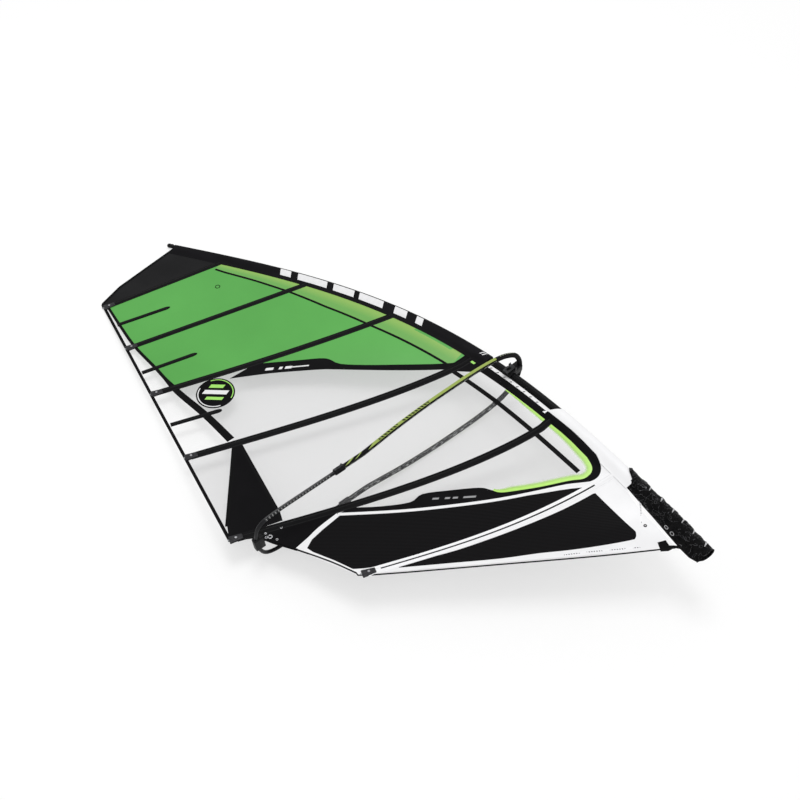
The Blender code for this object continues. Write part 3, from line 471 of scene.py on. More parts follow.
band_from = batten_at(2, BAND_START_V)
green_low = luff_line(GREEN_END_U, BATTEN_LUFF[2]) + [band_from] + through(band_middle)[3:]
cut_cloth("green_film_row_3", green_low, green_film, ("middle_panel",),
          held_by=["upper_sleeve", "sewn_pocket_3", "diagonal_band"])
tape = tape_between(*TAPE_SPANS[2])
middle = luff_line(BATTEN_LUFF[3], GREEN_END_U)[:-1] + through(band_middle)[3:][::-1] + [band_from]
middle += [batten_at(2, tape[0].y)] + tape[1:-1] + [batten_at(3, tape[-1].y)]
cut_cloth("clear_film_row_3", middle, clear_film, ("middle_window",),
          held_by=["diagonal_band", "sewn_pocket_3", "sewn_pocket_4"])
cut_cloth("leech_film_row_3", leech_outline(2, 3, tape), leech_film,
          held_by=["sewn_pocket_3", "sewn_pocket_4"])
cut_cloth("clear_film_row_4", row_outline(3, 4), clear_film, ("main_window",),
          held_by=["sewn_pocket_4", "sewn_pocket_5", "window_frame"])


# Black tape and ribbon: strips of adhesive cloth sewn over the films' joins, the leech and the head.
# The head itself is a panel of black laminate between the sleeve and the first batten.
HEAD_LUFF_END = 4.49
HEAD_TOP = (4.515, 0.020)
HEAD_EDGE = ((4.505, 0.30), (4.50, 0.55), (4.455, 0.755))
HEAD_BINDING_FROM = (4.515, 0.016)
SEAM_LINE = ((4.098, 0.150), (4.01, 0.160), (3.75, 0.170), (3.44, 0.190), (3.11, 0.220), (2.70, 0.230),
             (1.955, 0.212))
WINDOW_SEAM = ((1.90, 0.232), (1.50, 0.223), (1.16, 0.221), (0.885, 0.218), (0.715, 0.215))
LEECH_TAPE_WIDTHS = ((0.0, 0.020), (0.55, 0.024), (0.64, 0.045), (1.0, 0.055))
OVERLAY = 0.0021
TAPE = 0.0026
BINDING = 0.0030
BLACK = (0.0030, 0.0028, 0.0034)
BLACK_WORN = (0.0060, 0.0057, 0.0066)
TRIANGLE = ((2.672, 1.062), (2.42, 1.330), (2.225, 1.535), (2.15, 1.590), (2.015, 1.290), (2.08, 1.250),
            (2.34, 1.150), (2.655, 1.030))


def cloth_finish(name, low, high, roughness=0.52, threads=900.0, gloss=0.04):
    """Black laminate: a fine woven grid, a drifting shade and a faint gloss."""
    made = new_finish(name, high, roughness, gloss=gloss)
    place = pattern_map(made, False)
    connect(made, mottled(made, place, 3.0, low, high, 6.0), "Base Color")
    weave = [waves(made, place, threads / 20, way, 0.4) for way in ('X', 'Y')]
    bumped(made, figure(made, 'MAXIMUM', *weave), 0.20, 0.0006)
    return made


def tape_along(name, line, widths, finish, thickness=TAPE, surface=on_sail, nodes=(),
               step=0.02):
    """Tape of changing width along a line on the cloth; its UV map runs across it and along it."""
    line = [Vector(point[:2]) for point in line]
    lengths = gone_along(line)
    verts, uvs = [], []
    count = max(3, math.ceil(lengths[-1] / step))
    marks = [lengths[-1] * part / count for part in range(count + 1)]
    middle = [Vector([np.interp(mark, lengths, row) for row in zip(*line)]) for mark in marks]
    for here, mark in enumerate(marks):
        ahead = (middle[min(here + 1, count)] - middle[max(here - 1, 0)]).normalized()
        half = float(np.interp(mark / lengths[-1], *zip(*widths))) / 2
        for across in (-1, 0, 1):
            point = middle[here] + left_of(ahead) * (half * across)
            verts.append(surface(*point))
            uvs.append(((across + 1) / 2, mark))
    faces = []
    for here in range(count):
        for across in (0, 1):
            low = 3 * here + across
            faces.append((low, low + 3, low + 4, low + 1))
    made = cover_object(name, verts, faces, uvs, finish)
    apply_step(made, 'SOLIDIFY', thickness=thickness, offset=0.0)
    trims.append((made, surface(*middle[count // 2]).xy))
    return finish_piece(made, nodes)


def plain_width(width):
    return (0.0, width), (1.0, width)


def offset_line(stations, share=1.0, count=8):
    """Line beside the mast through (station, aft) pairs, or part of the way out to them."""
    line = []
    for (u, aft), (next_u, next_aft) in zip(stations, stations[1:]):
        for part in steps_between(0.0, 1.0, count)[:-1]:
            line.append((u + (next_u - u) * part, aft + (next_aft - aft) * part))
    line.append(stations[-1])
    return [by_mast(u, CLOTH_AFT + (aft - CLOTH_AFT) * share).xy for u, aft in line]


black_cloth = cloth_finish("black_cloth_finish", BLACK, BLACK_WORN)
black_tape = cloth_finish("black_tape_finish", (0.0030, 0.0030, 0.0034), (0.0062, 0.0062, 0.0066), 0.42)

head_outline = [on_batten(0, 0.0)] + luff_line(BATTEN_LUFF[0], HEAD_LUFF_END, count=6)
head_outline += [by_mast(*HEAD_TOP).xy] + list(HEAD_EDGE)
head_black = cloth_finish("head_cloth_finish", (0.0090, 0.0090, 0.0095), (0.0150, 0.0150, 0.0160), gloss=0.06)
cut_cloth("head_cloth", head_outline + [on_batten(0, 1.0)], head_black, ("head_panel",),
          held_by=["upper_sleeve", "sewn_pocket_1"])
head_edge = [by_mast(*HEAD_BINDING_FROM).xy] + list(HEAD_EDGE) + [on_batten(0, 1.0)]
tape_along("head_binding", head_edge, plain_width(0.020), black_tape, thickness=BINDING)

leech_edge = [Vector(point) - Vector((0.0, 0.006)) for point in BATTEN_LEECH[:5]]
tape_along("leech_binding", leech_edge, plain_width(0.021), black_tape, thickness=BINDING)
tape_along("leech_tape", tape_between(TAPE_SPANS[0][0], TAPE_SPANS[2][1]), LEECH_TAPE_WIDTHS, black_tape)
tape_along("seam_tape", offset_line(SEAM_LINE), plain_width(0.018), black_tape)
tape_along("window_seam", offset_line(WINDOW_SEAM), plain_width(0.030), black_tape)
cut_cloth("leech_triangle", list(TRIANGLE), black_cloth, ("leech_panel",), thickness=OVERLAY,
          held_by=["clear_film_row_4", "sewn_pocket_4", "sewn_pocket_5"])
for number, side in enumerate((TRIANGLE[:3], TRIANGLE[4:])):
    tape_along(f"triangle_tape_{number + 1}", side, plain_width(0.026), black_tape)


# The lime strip is a narrow film beside the sleeve: bright by the sleeve, deeper towards its seam.
# The same lime glows through the window along the inner edge of its black frame.
LIME = (0.235, 0.440, 0.085)
LIME_EDGE = (0.130, 0.370, 0.070)
GLOW = (0.46, 0.80, 0.15)


def lime_strip_finish():
    made = new_finish("lime_strip_finish", LIME, 0.35)
    across, _ = spot_on(made, pattern_map(made, False))
    connect(made, ramp(made, across, ((0.35, LIME_EDGE), (0.80, LIME))), "Base Color")
    bumped(made, clouds(made, pattern_map(made, False, (2.0, 6.0, 1.0)), 3.0), 0.15, 0.004)
    return made


def glow_finish():
    """Lime at the tape, clear film further in."""
    made = new_finish("lime_glow_finish", GLOW, 0.30)
    place = pattern_map(made, False)
    fade = add_node(made, "MapRange", {"Value": spot_on(made, place)[0], "From Max": 0.6},
                    interpolation_type='SMOOTHSTEP')
    connect(made, fade.outputs[0], "Alpha")
    connect(made, mottled(made, place, 2.0, shade(GLOW, 0.9), GLOW), "Base Color")
    return made


lime_width = [((SEAM_LINE[0][0] - u) / (SEAM_LINE[0][0] - SEAM_LINE[-1][0]), aft - CLOTH_AFT)
              for u, aft in SEAM_LINE]
tape_along("lime_strip", offset_line(SEAM_LINE, 0.5), lime_width, lime_strip_finish(), 0.0011)


# Black window frame and band: one piece of laminate round the front and the foot of the clear
# windows, cut from the luff beside the mast, round the tack corner and up to the clew patch.
FRAME_OUTER_LUFF = ((1.800, 0.064), (1.400, 0.064), (1.160, 0.062), (0.960, 0.056), (0.850, 0.058))
FRAME_INNER_LUFF = ((1.800, 0.122), (1.470, 0.115), (1.160, 0.110), (1.000, 0.104), (0.900, 0.104))
FRAME_OUTER = ((0.742, -0.285), (0.700, -0.256), (0.667, -0.224), (0.652, -0.186), (0.656, -0.148),
               (0.678, -0.110))
FRAME_INNER = ((0.783, -0.248), (0.730, -0.216), (0.706, -0.184), (0.705, -0.147), (0.724, -0.106),
               (0.790, -0.050), (0.910, 0.080), (1.000, 0.170), (1.090, 0.255), (1.155, 0.275), (1.225, 0.305),
               (1.360, 0.430), (1.480, 0.560), (1.500, 0.660), (1.620, 0.800), (1.760, 0.930))
WINDOW_CORNER = (0.700, -0.190)
LOWER_WINDOW_LUFF = (0.82, 1.09)
FOOT_SEAM = ((0.702, -0.084), (0.810, 0.018), (1.060, 0.298), (1.280, 0.528), (1.500, 0.752), (1.785, 1.022))
BAND_JOIN = ((1.759, -0.427), (1.923, -0.334), (1.985, -0.332), (1.968, -0.366))
BAND_JOIN_LUFF = (1.920, 1.69)
CLEW_STRIPE = ((1.785, 1.022), (1.792, 1.170), (1.784, 1.270), (1.772, 1.384))
GLOW_START = (1.520, 0.117)
GLOW_WIDTHS = ((0.0, 0.010), (0.15, 0.026), (0.35, 0.040), (0.50, 0.056), (0.92, 0.056), (1.0, 0.020))
GLOW_INWARD = 0.36
SLEEVE_CLEARANCE = 0.006
SLEEVE_LIP = 0.0022
WRINKLE = 0.0014
FRAME_OVER_SLEEVE = 0.0022
FRAME_STEP = 0.012


def sleeve_height(u, aft):
    """Height of the sleeve's skin over the sail's plane at this distance aft of the mast's axis."""
    radius = mast_radius(u) + SLEEVE_CLEARANCE
    if aft <= 0:
        height = math.sqrt(max(radius ** 2 - aft ** 2, 0.0))
    else:
        fall = max(math.cos(math.pi / 2 * min(aft / SEAM_AFT, 1)), 0)
        height = SLEEVE_LIP + (radius - SLEEVE_LIP) * fall ** 1.3
    fold = noise.noise(Vector((u * 7, aft * 30, 1.7))) + 0.6 * noise.noise(Vector((u * 21, aft * 60, 5.1)))
    share = min(max((aft + radius) / (SEAM_AFT + radius), 0.0), 1.0)
    return height + WRINKLE * fold * math.sin(math.pi * share)


def over_sleeve(u, v):
    """The cloth's surface, or the sleeve's where the sleeve lies on the cloth."""
    spot, station = Vector((u, v)), u
    for _ in range(6):
        along, aside = mast_axes(station)
        station += (spot - by_mast(station).xy).dot(along.xy)
    aft = (spot - by_mast(station).xy).dot(aside.xy)
    near = min(max((SEAM_AFT + 0.020 - aft) / 0.015, 0.0), 1.0) * min(max((1.185 - station) / 0.020, 0.0), 1.0)
    return on_sail(u, v) + Vector((0.0, 0.0, near * (sleeve_height(station, aft) + FRAME_OVER_SLEEVE)))


window_low = [on_batten(4, share) for share in steps_between(0.0, batten_share(4, 1.02), 8)]
window_low += vectors(FOOT_SEAM[::-1] + (WINDOW_CORNER,)) + luff_line(*LOWER_WINDOW_LUFF)
cut_cloth("clear_film_row_5", window_low, clear_film, ("lower_window",),
          held_by=["sewn_pocket_5", "window_frame"])
outer = offset_line(FRAME_OUTER_LUFF, count=4) + through(FRAME_OUTER, 4) + through(FOOT_SEAM, 4)
inner = offset_line(FRAME_INNER_LUFF, count=4) + through(FRAME_INNER, 4)
cut_cloth("window_frame", outer + inner[::-1], black_cloth, surface=over_sleeve,
          thickness=OVERLAY, step=FRAME_STEP, held_by=["lower_sleeve", "tack_laminate"])
join = luff_line(*BAND_JOIN_LUFF, 0.060, 8) + vectors(BAND_JOIN)
cut_cloth("band_join", join, black_cloth, thickness=OVERLAY, held_by=["upper_sleeve"])
glow_line = offset_line((GLOW_START,) + FRAME_INNER_LUFF[1:], count=4) + through(FRAME_INNER[:10], 4)
gone = gone_along(glow_line)
shifted = []
for before, here, after, far in zip(glow_line, glow_line[1:], glow_line[2:], gone[1:]):
    wide = float(np.interp(far / gone[-1], *zip(*GLOW_WIDTHS)))
    shifted.append(here - left_of((after - before).normalized()) * (wide * GLOW_INWARD))
tape_along("window_glow", shifted, GLOW_WIDTHS, glow_finish(), 0.0011)


# White laminate at the tack and foot, with the ribbed black foot panels sewn on it. The upper panel
# lies between the white foot seam and the last batten, the lower one between that batten and the foot.
WHITE = (0.84, 0.84, 0.85)
TACK_CORNERS = ((0.900, -0.290), (0.730, -0.240), (0.690, -0.185), (0.730, -0.085))
TACK_LUFF_TOP = 1.160
TACK_LUFF_SPAN = (0.500, 1.140)
TACK_LUFF = ((0.12, 0.115), (0.28, 0.112), (0.38, 0.100), (0.44, 0.078))
UPPER_FOOT = ((0.664, -0.076), (0.796, 0.036), (1.056, 0.296), (1.290, 0.500), (1.505, 0.720), (1.768, 1.000),
              (1.770, 1.170), (1.764, 1.270), (1.738, 1.338), (1.690, 1.336), (1.545, 1.300), (1.420, 1.278),
              (1.350, 1.205), (1.240, 1.055), (1.130, 0.905), (1.035, 0.735), (0.925, 0.520), (0.830, 0.320),
              (0.730, 0.040))
LOWER_FOOT_TOP = ((0.614, -0.050), (0.700, 0.140), (0.800, 0.340), (0.905, 0.545), (1.030, 0.780),
                  (1.130, 0.940), (1.225, 1.095))
LOWER_FOOT_LOW = ((1.215, 1.102), (1.000, 0.895), (0.790, 0.692), (0.630, 0.515), (0.500, 0.385),
                  (0.380, 0.255), (0.258, 0.112), (0.243, 0.082), (0.258, 0.048), (0.290, 0.030),
                  (0.470, -0.022), (0.604, -0.062))
SEAM_STRIPE_FROM = (0.664, -0.118)
FOOT_LINE = ((0.025, 0.010), (0.340, 0.325), (0.760, 0.725), (1.310, 1.245), (1.385, 1.287))
FOOT_TO_CLEW = ((1.385, 1.287), (1.560, 1.322), (1.772, 1.384), (1.915, 1.432))
FOOT_STEP = 0.014
RIB_TURN = math.radians(-40)
RIB_SPACING = 0.0110


def laminate_finish(name, colour):
    """White laminate with a faint grid of threads and a little grime."""
    made = new_finish(name, colour, 0.42)
    place = pattern_map(made, False)
    connect(made, mottled(made, place, 4.0, shade(colour, 0.93), colour, 6.0), "Base Color")
    inputs = {"Vector": place, "Scale": 40.0, "Mortar Size": 0.02, "Brick Width": 0.5, "Row Height": 0.5,
              "Color1": (1, 1, 1, 1), "Color2": (1, 1, 1, 1)}
    grid = add_node(made, "TexBrick", inputs, offset=0.0)
    bumped(made, grid.outputs["Fac"], 0.10, 0.001)
    return made


def ribbed_finish():
    """Black laminate pressed into fine parallel ribs."""
    made = new_finish("ribbed_foot_finish", BLACK, 0.48, gloss=0.04)
    aslant = pattern_map(made, False, turn=RIB_TURN)
    ribs = waves(made, aslant, 0.1 * math.pi / RIB_SPACING, 'Y')
    colours = ((0.35, (0.0028, 0.0026, 0.0030)), (0.9, (0.0090, 0.0086, 0.0094)))
    connect(made, ramp(made, ribs, colours), "Base Color")
    bumped(made, ribs, 0.30, 0.0008)
    return made


white_laminate = laminate_finish("white_laminate_finish", WHITE)
ribbed = ribbed_finish()
tack = [by_mast(TACK_LUFF_TOP, CLOTH_AFT).xy] + vectors(TACK_CORNERS)
tack += through(FOOT_SEAM, 3)[3:] + through(CLEW_STRIPE, 3)[1:] + vectors((FOOT_CORNER, TACK_CORNER))
tack += [by_mast(*spot).xy for spot in TACK_LUFF]
tack += luff_line(*TACK_LUFF_SPAN)
cut_cloth("tack_laminate", tack, white_laminate, ("tack_panel",), step=FOOT_STEP,
          held_by=["lower_sleeve", "clew_cloth", "sewn_pocket_6"])
upper_foot = through(UPPER_FOOT[:6], 3) + vectors(UPPER_FOOT[6:11]) + through(UPPER_FOOT[11:], 3)
cut_cloth("upper_foot_cloth", upper_foot, ribbed, ("upper_foot_panel",), thickness=OVERLAY,
          step=FOOT_STEP, held_by=["tack_laminate"])
lower_foot = through(LOWER_FOOT_TOP, 3) + through(LOWER_FOOT_LOW, 3)
cut_cloth("lower_foot_cloth", lower_foot, ribbed, ("lower_foot_panel",), thickness=OVERLAY,
          step=FOOT_STEP, held_by=["tack_laminate"])
tape_along("foot_seam_stripe", [SEAM_STRIPE_FROM] + through(FOOT_SEAM, 4),
           ((0.0, 0.008), (0.1, 0.022), (1.0, 0.022)), white_laminate)
tape_along("clew_stripe", through(CLEW_STRIPE, 4), ((0.0, 0.022), (0.7, 0.020), (1.0, 0.034)), white_laminate)
tape_along("foot_binding", through(FOOT_LINE, 3), plain_width(0.008), black_tape, thickness=BINDING)
tape_along("foot_to_clew_binding", through(FOOT_TO_CLEW, 3), plain_width(0.010), black_tape, thickness=BINDING)


# The clew patch is stiff black laminate between the fifth batten and the white stripe, sewn to the
# white laminate. The outhaul's ring and four eyelets are pressed into it.
CLEW_EDGE = ((2.030, 1.465), (1.915, 1.436))
CLEW_EYELETS = ((1.974, 1.324), (2.013, 1.418), (1.985, 1.440), (1.925, 1.406))
EYELET_R = (0.0045, 0.0085)

clew_top = [on_batten(4, share) for share in steps_between(batten_share(4, 0.95), 1.0, 6)]
clew = clew_top + vectors(CLEW_EDGE) + through(CLEW_STRIPE, 3)[::-1]
cut_cloth("clew_cloth", clew, black_cloth, ("clew_patch",), thickness=OVERLAY,
          held_by=["clew_grommet", "sewn_pocket_5", "tack_laminate"])
tape_along("clew_binding", [on_batten(4, 1.0), *CLEW_EDGE, CLEW_STRIPE[-1]], plain_width(0.016), black_tape,
           thickness=BINDING)


# The diagonal band is black laminate across the third row, with a plain round badge at its low end.
# The badge holds slanted bars, and the bands hold short plain dashes.
BADGE_AT = (3.095, 0.835)
BADGE_R = 0.135
BADGE_BARS = ((-0.062, 0.050, 0.030), (-0.008, 0.085, 0.036), (0.048, 0.060, 0.026))
BADGE_WAY = (0.80, 0.60)
BAR_SLANT = 0.45
BAND_DASHES_AT = ((2.780, 0.262), (0.300, 0.305))
BAND_DASHES = ((-0.04, 0.16, 0.010), (0.09, 0.06, 0.022), (0.16, 0.03, 0.022), (0.22, 0.07, 0.022))
FOOT_DASHES_AT = ((1.190, 0.365), (0.239, 0.206))
FOOT_DASHES = ((0.00, 0.10, 0.014), (0.12, 0.04, 0.014), (0.17, 0.04, 0.014), (0.24, 0.05, 0.014))
JOIN_MARK_AT = (1.846, -0.463)
JOIN_MARK_SIZE = (0.034, 0.016)
FILM_RING = ((3.885, 0.085), 0.019)
MARK = 0.0031

band = through(BAND_TOP, 3) + through(BAND_LOW, 3)[::-1]
cut_cloth("diagonal_band", band, black_cloth, thickness=OVERLAY,
          held_by=["upper_sleeve", "sewn_pocket_3"])


def disc(centre, radius, count=40):
    turns = [math.tau * step / count for step in range(count)]
    return [Vector(centre) + Vector((math.cos(turn), math.sin(turn))) * radius for turn in turns]


def slanted_bar(centre, ahead, length, height, slant=BAR_SLANT):
    """Parallelogram about a point, its long sides along a direction."""
    corners = []
    for along, up in ((-1, -1), (1, -1), (1, 1), (-1, 1)):
        corners.append(Vector(centre) + ahead * (along * length / 2 + slant * up * height / 2)
                       + left_of(ahead) * (up * height / 2))
    return corners


def dash_row(name, start, way, dashes, finish, thickness):
    """Plain slanted dashes along a direction, each as its (distance, length, height)."""
    ahead = Vector(way).normalized()
    for number, (along, length, height) in enumerate(dashes):
        bar = slanted_bar(Vector(start) + ahead * (along + length / 2), ahead, length * 0.8, height)
        cut_cloth(f"{name}_{number + 1}", bar, finish, thickness=thickness, sheet=False)


def ink(name, colour, roughness=0.45):
    made = new_finish(name, colour, roughness)
    shades = mottled(made, pattern_map(made, False), 30.0, shade(colour, 0.90), colour, 6.0)
    connect(made, shades, "Base Color")
    return made


white_ink = ink("white_print_finish", (0.78, 0.78, 0.79))
lime_ink = ink("lime_print_finish", (0.33, 0.72, 0.12))
grey_ink = ink("grey_print_finish", (0.30, 0.30, 0.31))
cut_cloth("badge_disc", disc(BADGE_AT, BADGE_R), black_cloth, thickness=TAPE, sheet=False)
ring = disc(BADGE_AT, BADGE_R * 0.90)
tape_along("badge_ring", ring[2:18], plain_width(0.007), white_ink, MARK)
tape_along("badge_ring_low", ring[22:38], plain_width(0.007), lime_ink, MARK)
badge_ahead = Vector(BADGE_WAY).normalized()
for number, (offset, half, thick) in enumerate(BADGE_BARS):
    bar = slanted_bar(Vector(BADGE_AT) + left_of(badge_ahead) * offset, badge_ahead, 2 * half, thick)
    finish, slot = (white_ink, "white_laminate") if number == 1 else (lime_ink, "green_film")
    cut_cloth(f"badge_bar_{number + 1}", bar, finish, thickness=MARK, sheet=False)
dash_row("band_dash", *BAND_DASHES_AT, BAND_DASHES, white_ink, MARK)
up_mast = (by_mast(1.87).xy - by_mast(1.83).xy).normalized()
cut_cloth("join_mark", slanted_bar(JOIN_MARK_AT, up_mast, *JOIN_MARK_SIZE), lime_ink,
          thickness=MARK, sheet=False)
dash_row("foot_dash", *FOOT_DASHES_AT, FOOT_DASHES, grey_ink, TAPE)
film_ring = disc(*FILM_RING, 20)
tape_along("film_ring", film_ring + film_ring[:1], plain_width(0.006), black_tape)


# Small prints and trim at the tack: a printed tape along the foot, a black corner tab with the tack
# strap, an eyelet and a short row of marks. The prints are plain dashes in a layout of their own.
FOOT_PRINT = ((0.507, 0.443), (0.400, 0.332), (0.293, 0.230), (0.187, 0.128))
TACK_PRINT = ((0.350, -0.150), (0.304, -0.088), (0.268, -0.030))
TACK_TAB = ((0.125, 0.036), (0.095, -0.006), (0.050, 0.022), (0.030, 0.016), (0.045, 0.052), (0.079, 0.083))
TACK_STRAP = ((0.064, 0.030), (0.030, 0.004), (-0.006, -0.016))
TACK_EYELET = (0.241, -0.028)


def printed_finish(name, pitch, share):
    """White laminate tape with a row of grey dashes in uneven groups."""
    made = new_finish(name, WHITE, 0.42)
    place = pattern_map(made, False)
    across, along = spot_on(made, place)
    dash = figure(made, 'LESS_THAN', figure(made, 'PINGPONG', along, pitch), pitch * share)
    row = figure(made, 'MULTIPLY', dash, figure(made, 'COMPARE', across, 0.5, 0.22))
    group = figure(made, 'GREATER_THAN', waves(made, place, 2.3, 'Y', 1.4, offset=1.1), 0.25)
    shown = figure(made, 'MULTIPLY', row, group)
    connect(made, ramp(made, shown, ((0.0, WHITE), (1.0, (0.10, 0.10, 0.11)))), "Base Color")
    return made


for name, line, width, pitch, share in (("foot", FOOT_PRINT, 0.017, 0.0075, 0.55),
                                        ("tack", TACK_PRINT, 0.014, 0.0050, 0.45)):
    printed = printed_finish(f"{name}_print_finish", pitch, share)
    tape_along(f"{name}_print_tape", line, plain_width(width), printed, OVERLAY)
cut_cloth("tack_tab", list(TACK_TAB), black_cloth, thickness=TAPE, sheet=False, step=FOOT_STEP)
tape_along("tack_strap", TACK_STRAP, plain_width(0.018), black_tape, thickness=0.0032, step=0.01)
eyelet = disc(TACK_EYELET, 0.0072, 20)
tape_along("tack_eyelet_ring", eyelet + eyelet[:1], plain_width(0.0062), black_tape, thickness=MARK,
           step=0.002)


# The luff sleeve is a flat tube of cloth that the mast goes through, in two lengths with the boom's
# cut-out between them: black above, white below. The lower one's mouth is cut at a slant.
SLEEVE_CLOTH = 0.0012
UPPER_SLEEVE = (1.760, 4.520)
LOWER_SLEEVE = (0.440, 1.160)
MOUTH_SLANT = 0.85
SLEEVE_STEP = 0.025
SLEEVE_BARS = ((3.560, 0.090, 0.026, 0.054), (3.330, 0.250, 0.027, 0.055), (3.060, 0.180, 0.027, 0.056),
               (2.820, 0.210, 0.026, 0.057), (2.560, 0.110, 0.025, 0.058), (2.390, 0.060, 0.025, 0.058))
SLEEVE_SLASHES = ((1.810, 0.009, 0.004, 0.034), (1.832, 0.009, 0.004, 0.034))
CUTOUT_HIGH = 1.785
CUTOUT_LOW = 1.150
CUTOUT_STRIP = (0.034, 0.063)
CUTOUT_LIP = (1.165, 0.031)
TICKS_FROM = 1.270
TICKS_TO = 1.700
TICK = ((0.0, 0.048), (0.012, 0.060))


def grid_faces(rows, wide):
    """Four-sided faces between rows that are this many points wide."""
    return [(row * wide + at, row * wide + at + 1, (row + 1) * wide + at + 1, (row + 1) * wide + at)
            for row in range(rows) for at in range(wide - 1)]


def on_sleeve(u, aft):
    return by_mast(u, aft, sleeve_height(u, aft) + 0.0008)


def sleeve_section(u):
    radius = mast_radius(u) + SLEEVE_CLEARANCE
    nose = [-radius * math.cos(turn) for turn in steps_between(0, math.pi / 2, 7)]
    half = nose + [SEAM_AFT * share for share in (0.15, 0.3, 0.45, 0.6, 0.75, 0.88, 1.0)]
    return [(aft, 1) for aft in half[::-1]] + [(aft, -1) for aft in half[1:]]


def luff_sleeve(name, reach, finish, node, slant):
    count = round((reach[1] - reach[0]) / SLEEVE_STEP)
    verts, uvs = [], []
    for u in steps_between(*reach, count):
        section = sleeve_section(u)
        for index, (aft, side) in enumerate(section):
            cut = slant * max(1 - (reach[1] - u) / 0.12, 0.0) * (aft - SEAM_AFT / 2)
            height = 0.0 if index == len(section) // 2 else sleeve_height(u + cut, aft)
            verts.append(by_mast(u + cut, aft, side * height))
            uvs.append((index / (len(section) - 1), u))
    made = cover_object(name, verts, grid_faces(count, len(section)), uvs, finish)
    apply_step(made, 'SOLIDIFY', thickness=SLEEVE_CLOTH, offset=-1.0)
    finish_piece(made, (node,))
    girth = gone_along(verts[:len(section)])[-1]
    fore = -mast_radius(reach[0]) - SLEEVE_CLEARANCE
    loop = luff_line(*reach, fore, 20) + luff_line(*reach[::-1], SEAM_AFT, 20)
    size = round(girth, 3), round((reach[1] - reach[0]) * 1.05, 3)
    tubes = ["mast_upper_tube", "mast_lower_tube"] if reach[1] > 2 else ["mast_lower_tube"]
    cloths.append((made, loop, (*size, None), tubes))


sleeve_black = cloth_finish("black_sleeve_finish", BLACK, (0.0070, 0.0066, 0.0084), 0.46, 700.0, 0.06)
sleeve_white = laminate_finish("white_sleeve_finish", (0.85, 0.85, 0.86))
sleeves = (("upper_sleeve", UPPER_SLEEVE, sleeve_black, "black_cloth", "luff_sleeve_upper", 0.0),
           ("lower_sleeve", LOWER_SLEEVE, sleeve_white, "white_laminate", "luff_sleeve_lower", MOUTH_SLANT))
for name, reach, finish, slot, node, slant in sleeves:
    luff_sleeve(name, reach, finish, node, slant)

bars = [("bar", number, bar, -0.35) for number, bar in enumerate(SLEEVE_BARS)]
bars += [("slash", number, slash, 0.60) for number, slash in enumerate(SLEEVE_SLASHES)]
for kind, number, (u, length, near, wide), slant in bars:
    bar = slanted_bar((u, near), Vector((1.0, 0.0)), length, wide, slant)
    cut_cloth(f"sleeve_{kind}_{number + 1}", bar, white_ink, surface=on_sleeve,
              thickness=0.0006, sheet=False, step=0.012)

cutout = luff_line(CUTOUT_HIGH, CUTOUT_LOW, CUTOUT_STRIP[0], 16)
cutout += luff_line(CUTOUT_LOW, CUTOUT_HIGH, CUTOUT_STRIP[1], 16)
cut_cloth("cutout_strip", cutout, white_laminate, ("cutout_edge",), thickness=TAPE,
          held_by=["window_frame"])
for number, u in enumerate(steps_between(TICKS_FROM, TICKS_TO, 7)):
    tape_along(f"cutout_tick_{number + 1}", [by_mast(u + ahead, aft).xy for ahead, aft in TICK],
               plain_width(0.007), black_tape, thickness=MARK, step=0.01)
lip_end, lip_aft = CUTOUT_LIP
tape_along("cutout_lip", luff_line(CUTOUT_HIGH, lip_end, lip_aft, 16), plain_width(0.011), black_tape,
           thickness=MARK)


# Six full battens of glass rod lie in sewn pockets. At the leech each pocket runs into a moulded end
# cap with a screw on its face, and the batten's key-turned tensioner comes out of the cap.
POCKET_HALF = 0.029
POCKET_SIZES = (0.76, 0.80, 0.86, 0.92, 0.96, 1.0)
POCKET_TOP = 0.0058
HEM_IN = 0.0240
ROD_HALF = 0.0105
ROD_TOP = 0.0023
BATTEN_BOW = ((0.0, 1.0), (0.0, 1.0), (0.012, 1.0), (0.014, 0.4), (0.030, 0.45), (0.030, 1.0))
CAP_LENGTH = 0.085
CAP_LUFF = (0.038, 0.0150)
CAP_LEECH = (0.050, 0.0190)
CAP_PROUD = 0.010
TENSIONER_LENGTH = 0.030
TENSIONER_PROUD = 0.006
TENSIONER_R = 0.0074
KEY_R = 0.0030
KEY_DEPTH = 0.008
MINI_BATTENS = (((4.18, 0.83), (4.01, 0.46)), ((3.65, 1.03), (3.48, 0.66)), ((3.12, 1.22), (2.95, 0.91)))
MINI_SIZES = ((0.0, 1.0), (0.92, 1.0), (0.975, 0.75), (1.0, 0.25))


def batten_point(number, share):
    """Middle of a batten; the lower ones are bowed towards the foot by the tack's pull."""
    start, end = by_mast(BATTEN_LUFF[number], SEAM_AFT - 0.012).xy, Vector(BATTEN_LEECH[number])
    to_foot = (end - start).orthogonal().normalized()
    bow, lean = BATTEN_BOW[number]
    return start.lerp(end, share) + to_foot * (bow * math.sin(math.pi * share ** lean))


def edit_all(made):
    """Edit a piece with all of it selected."""
    bpy.context.view_layer.objects.active = made
    bpy.ops.object.mode_set(mode='EDIT')
    bpy.ops.mesh.select_all(action='SELECT')


def edit_done():
    bpy.ops.object.mode_set(mode='OBJECT')


def face_outward(made):
    edit_all(made)
    bpy.ops.mesh.normals_make_consistent(inside=False)
    edit_done()


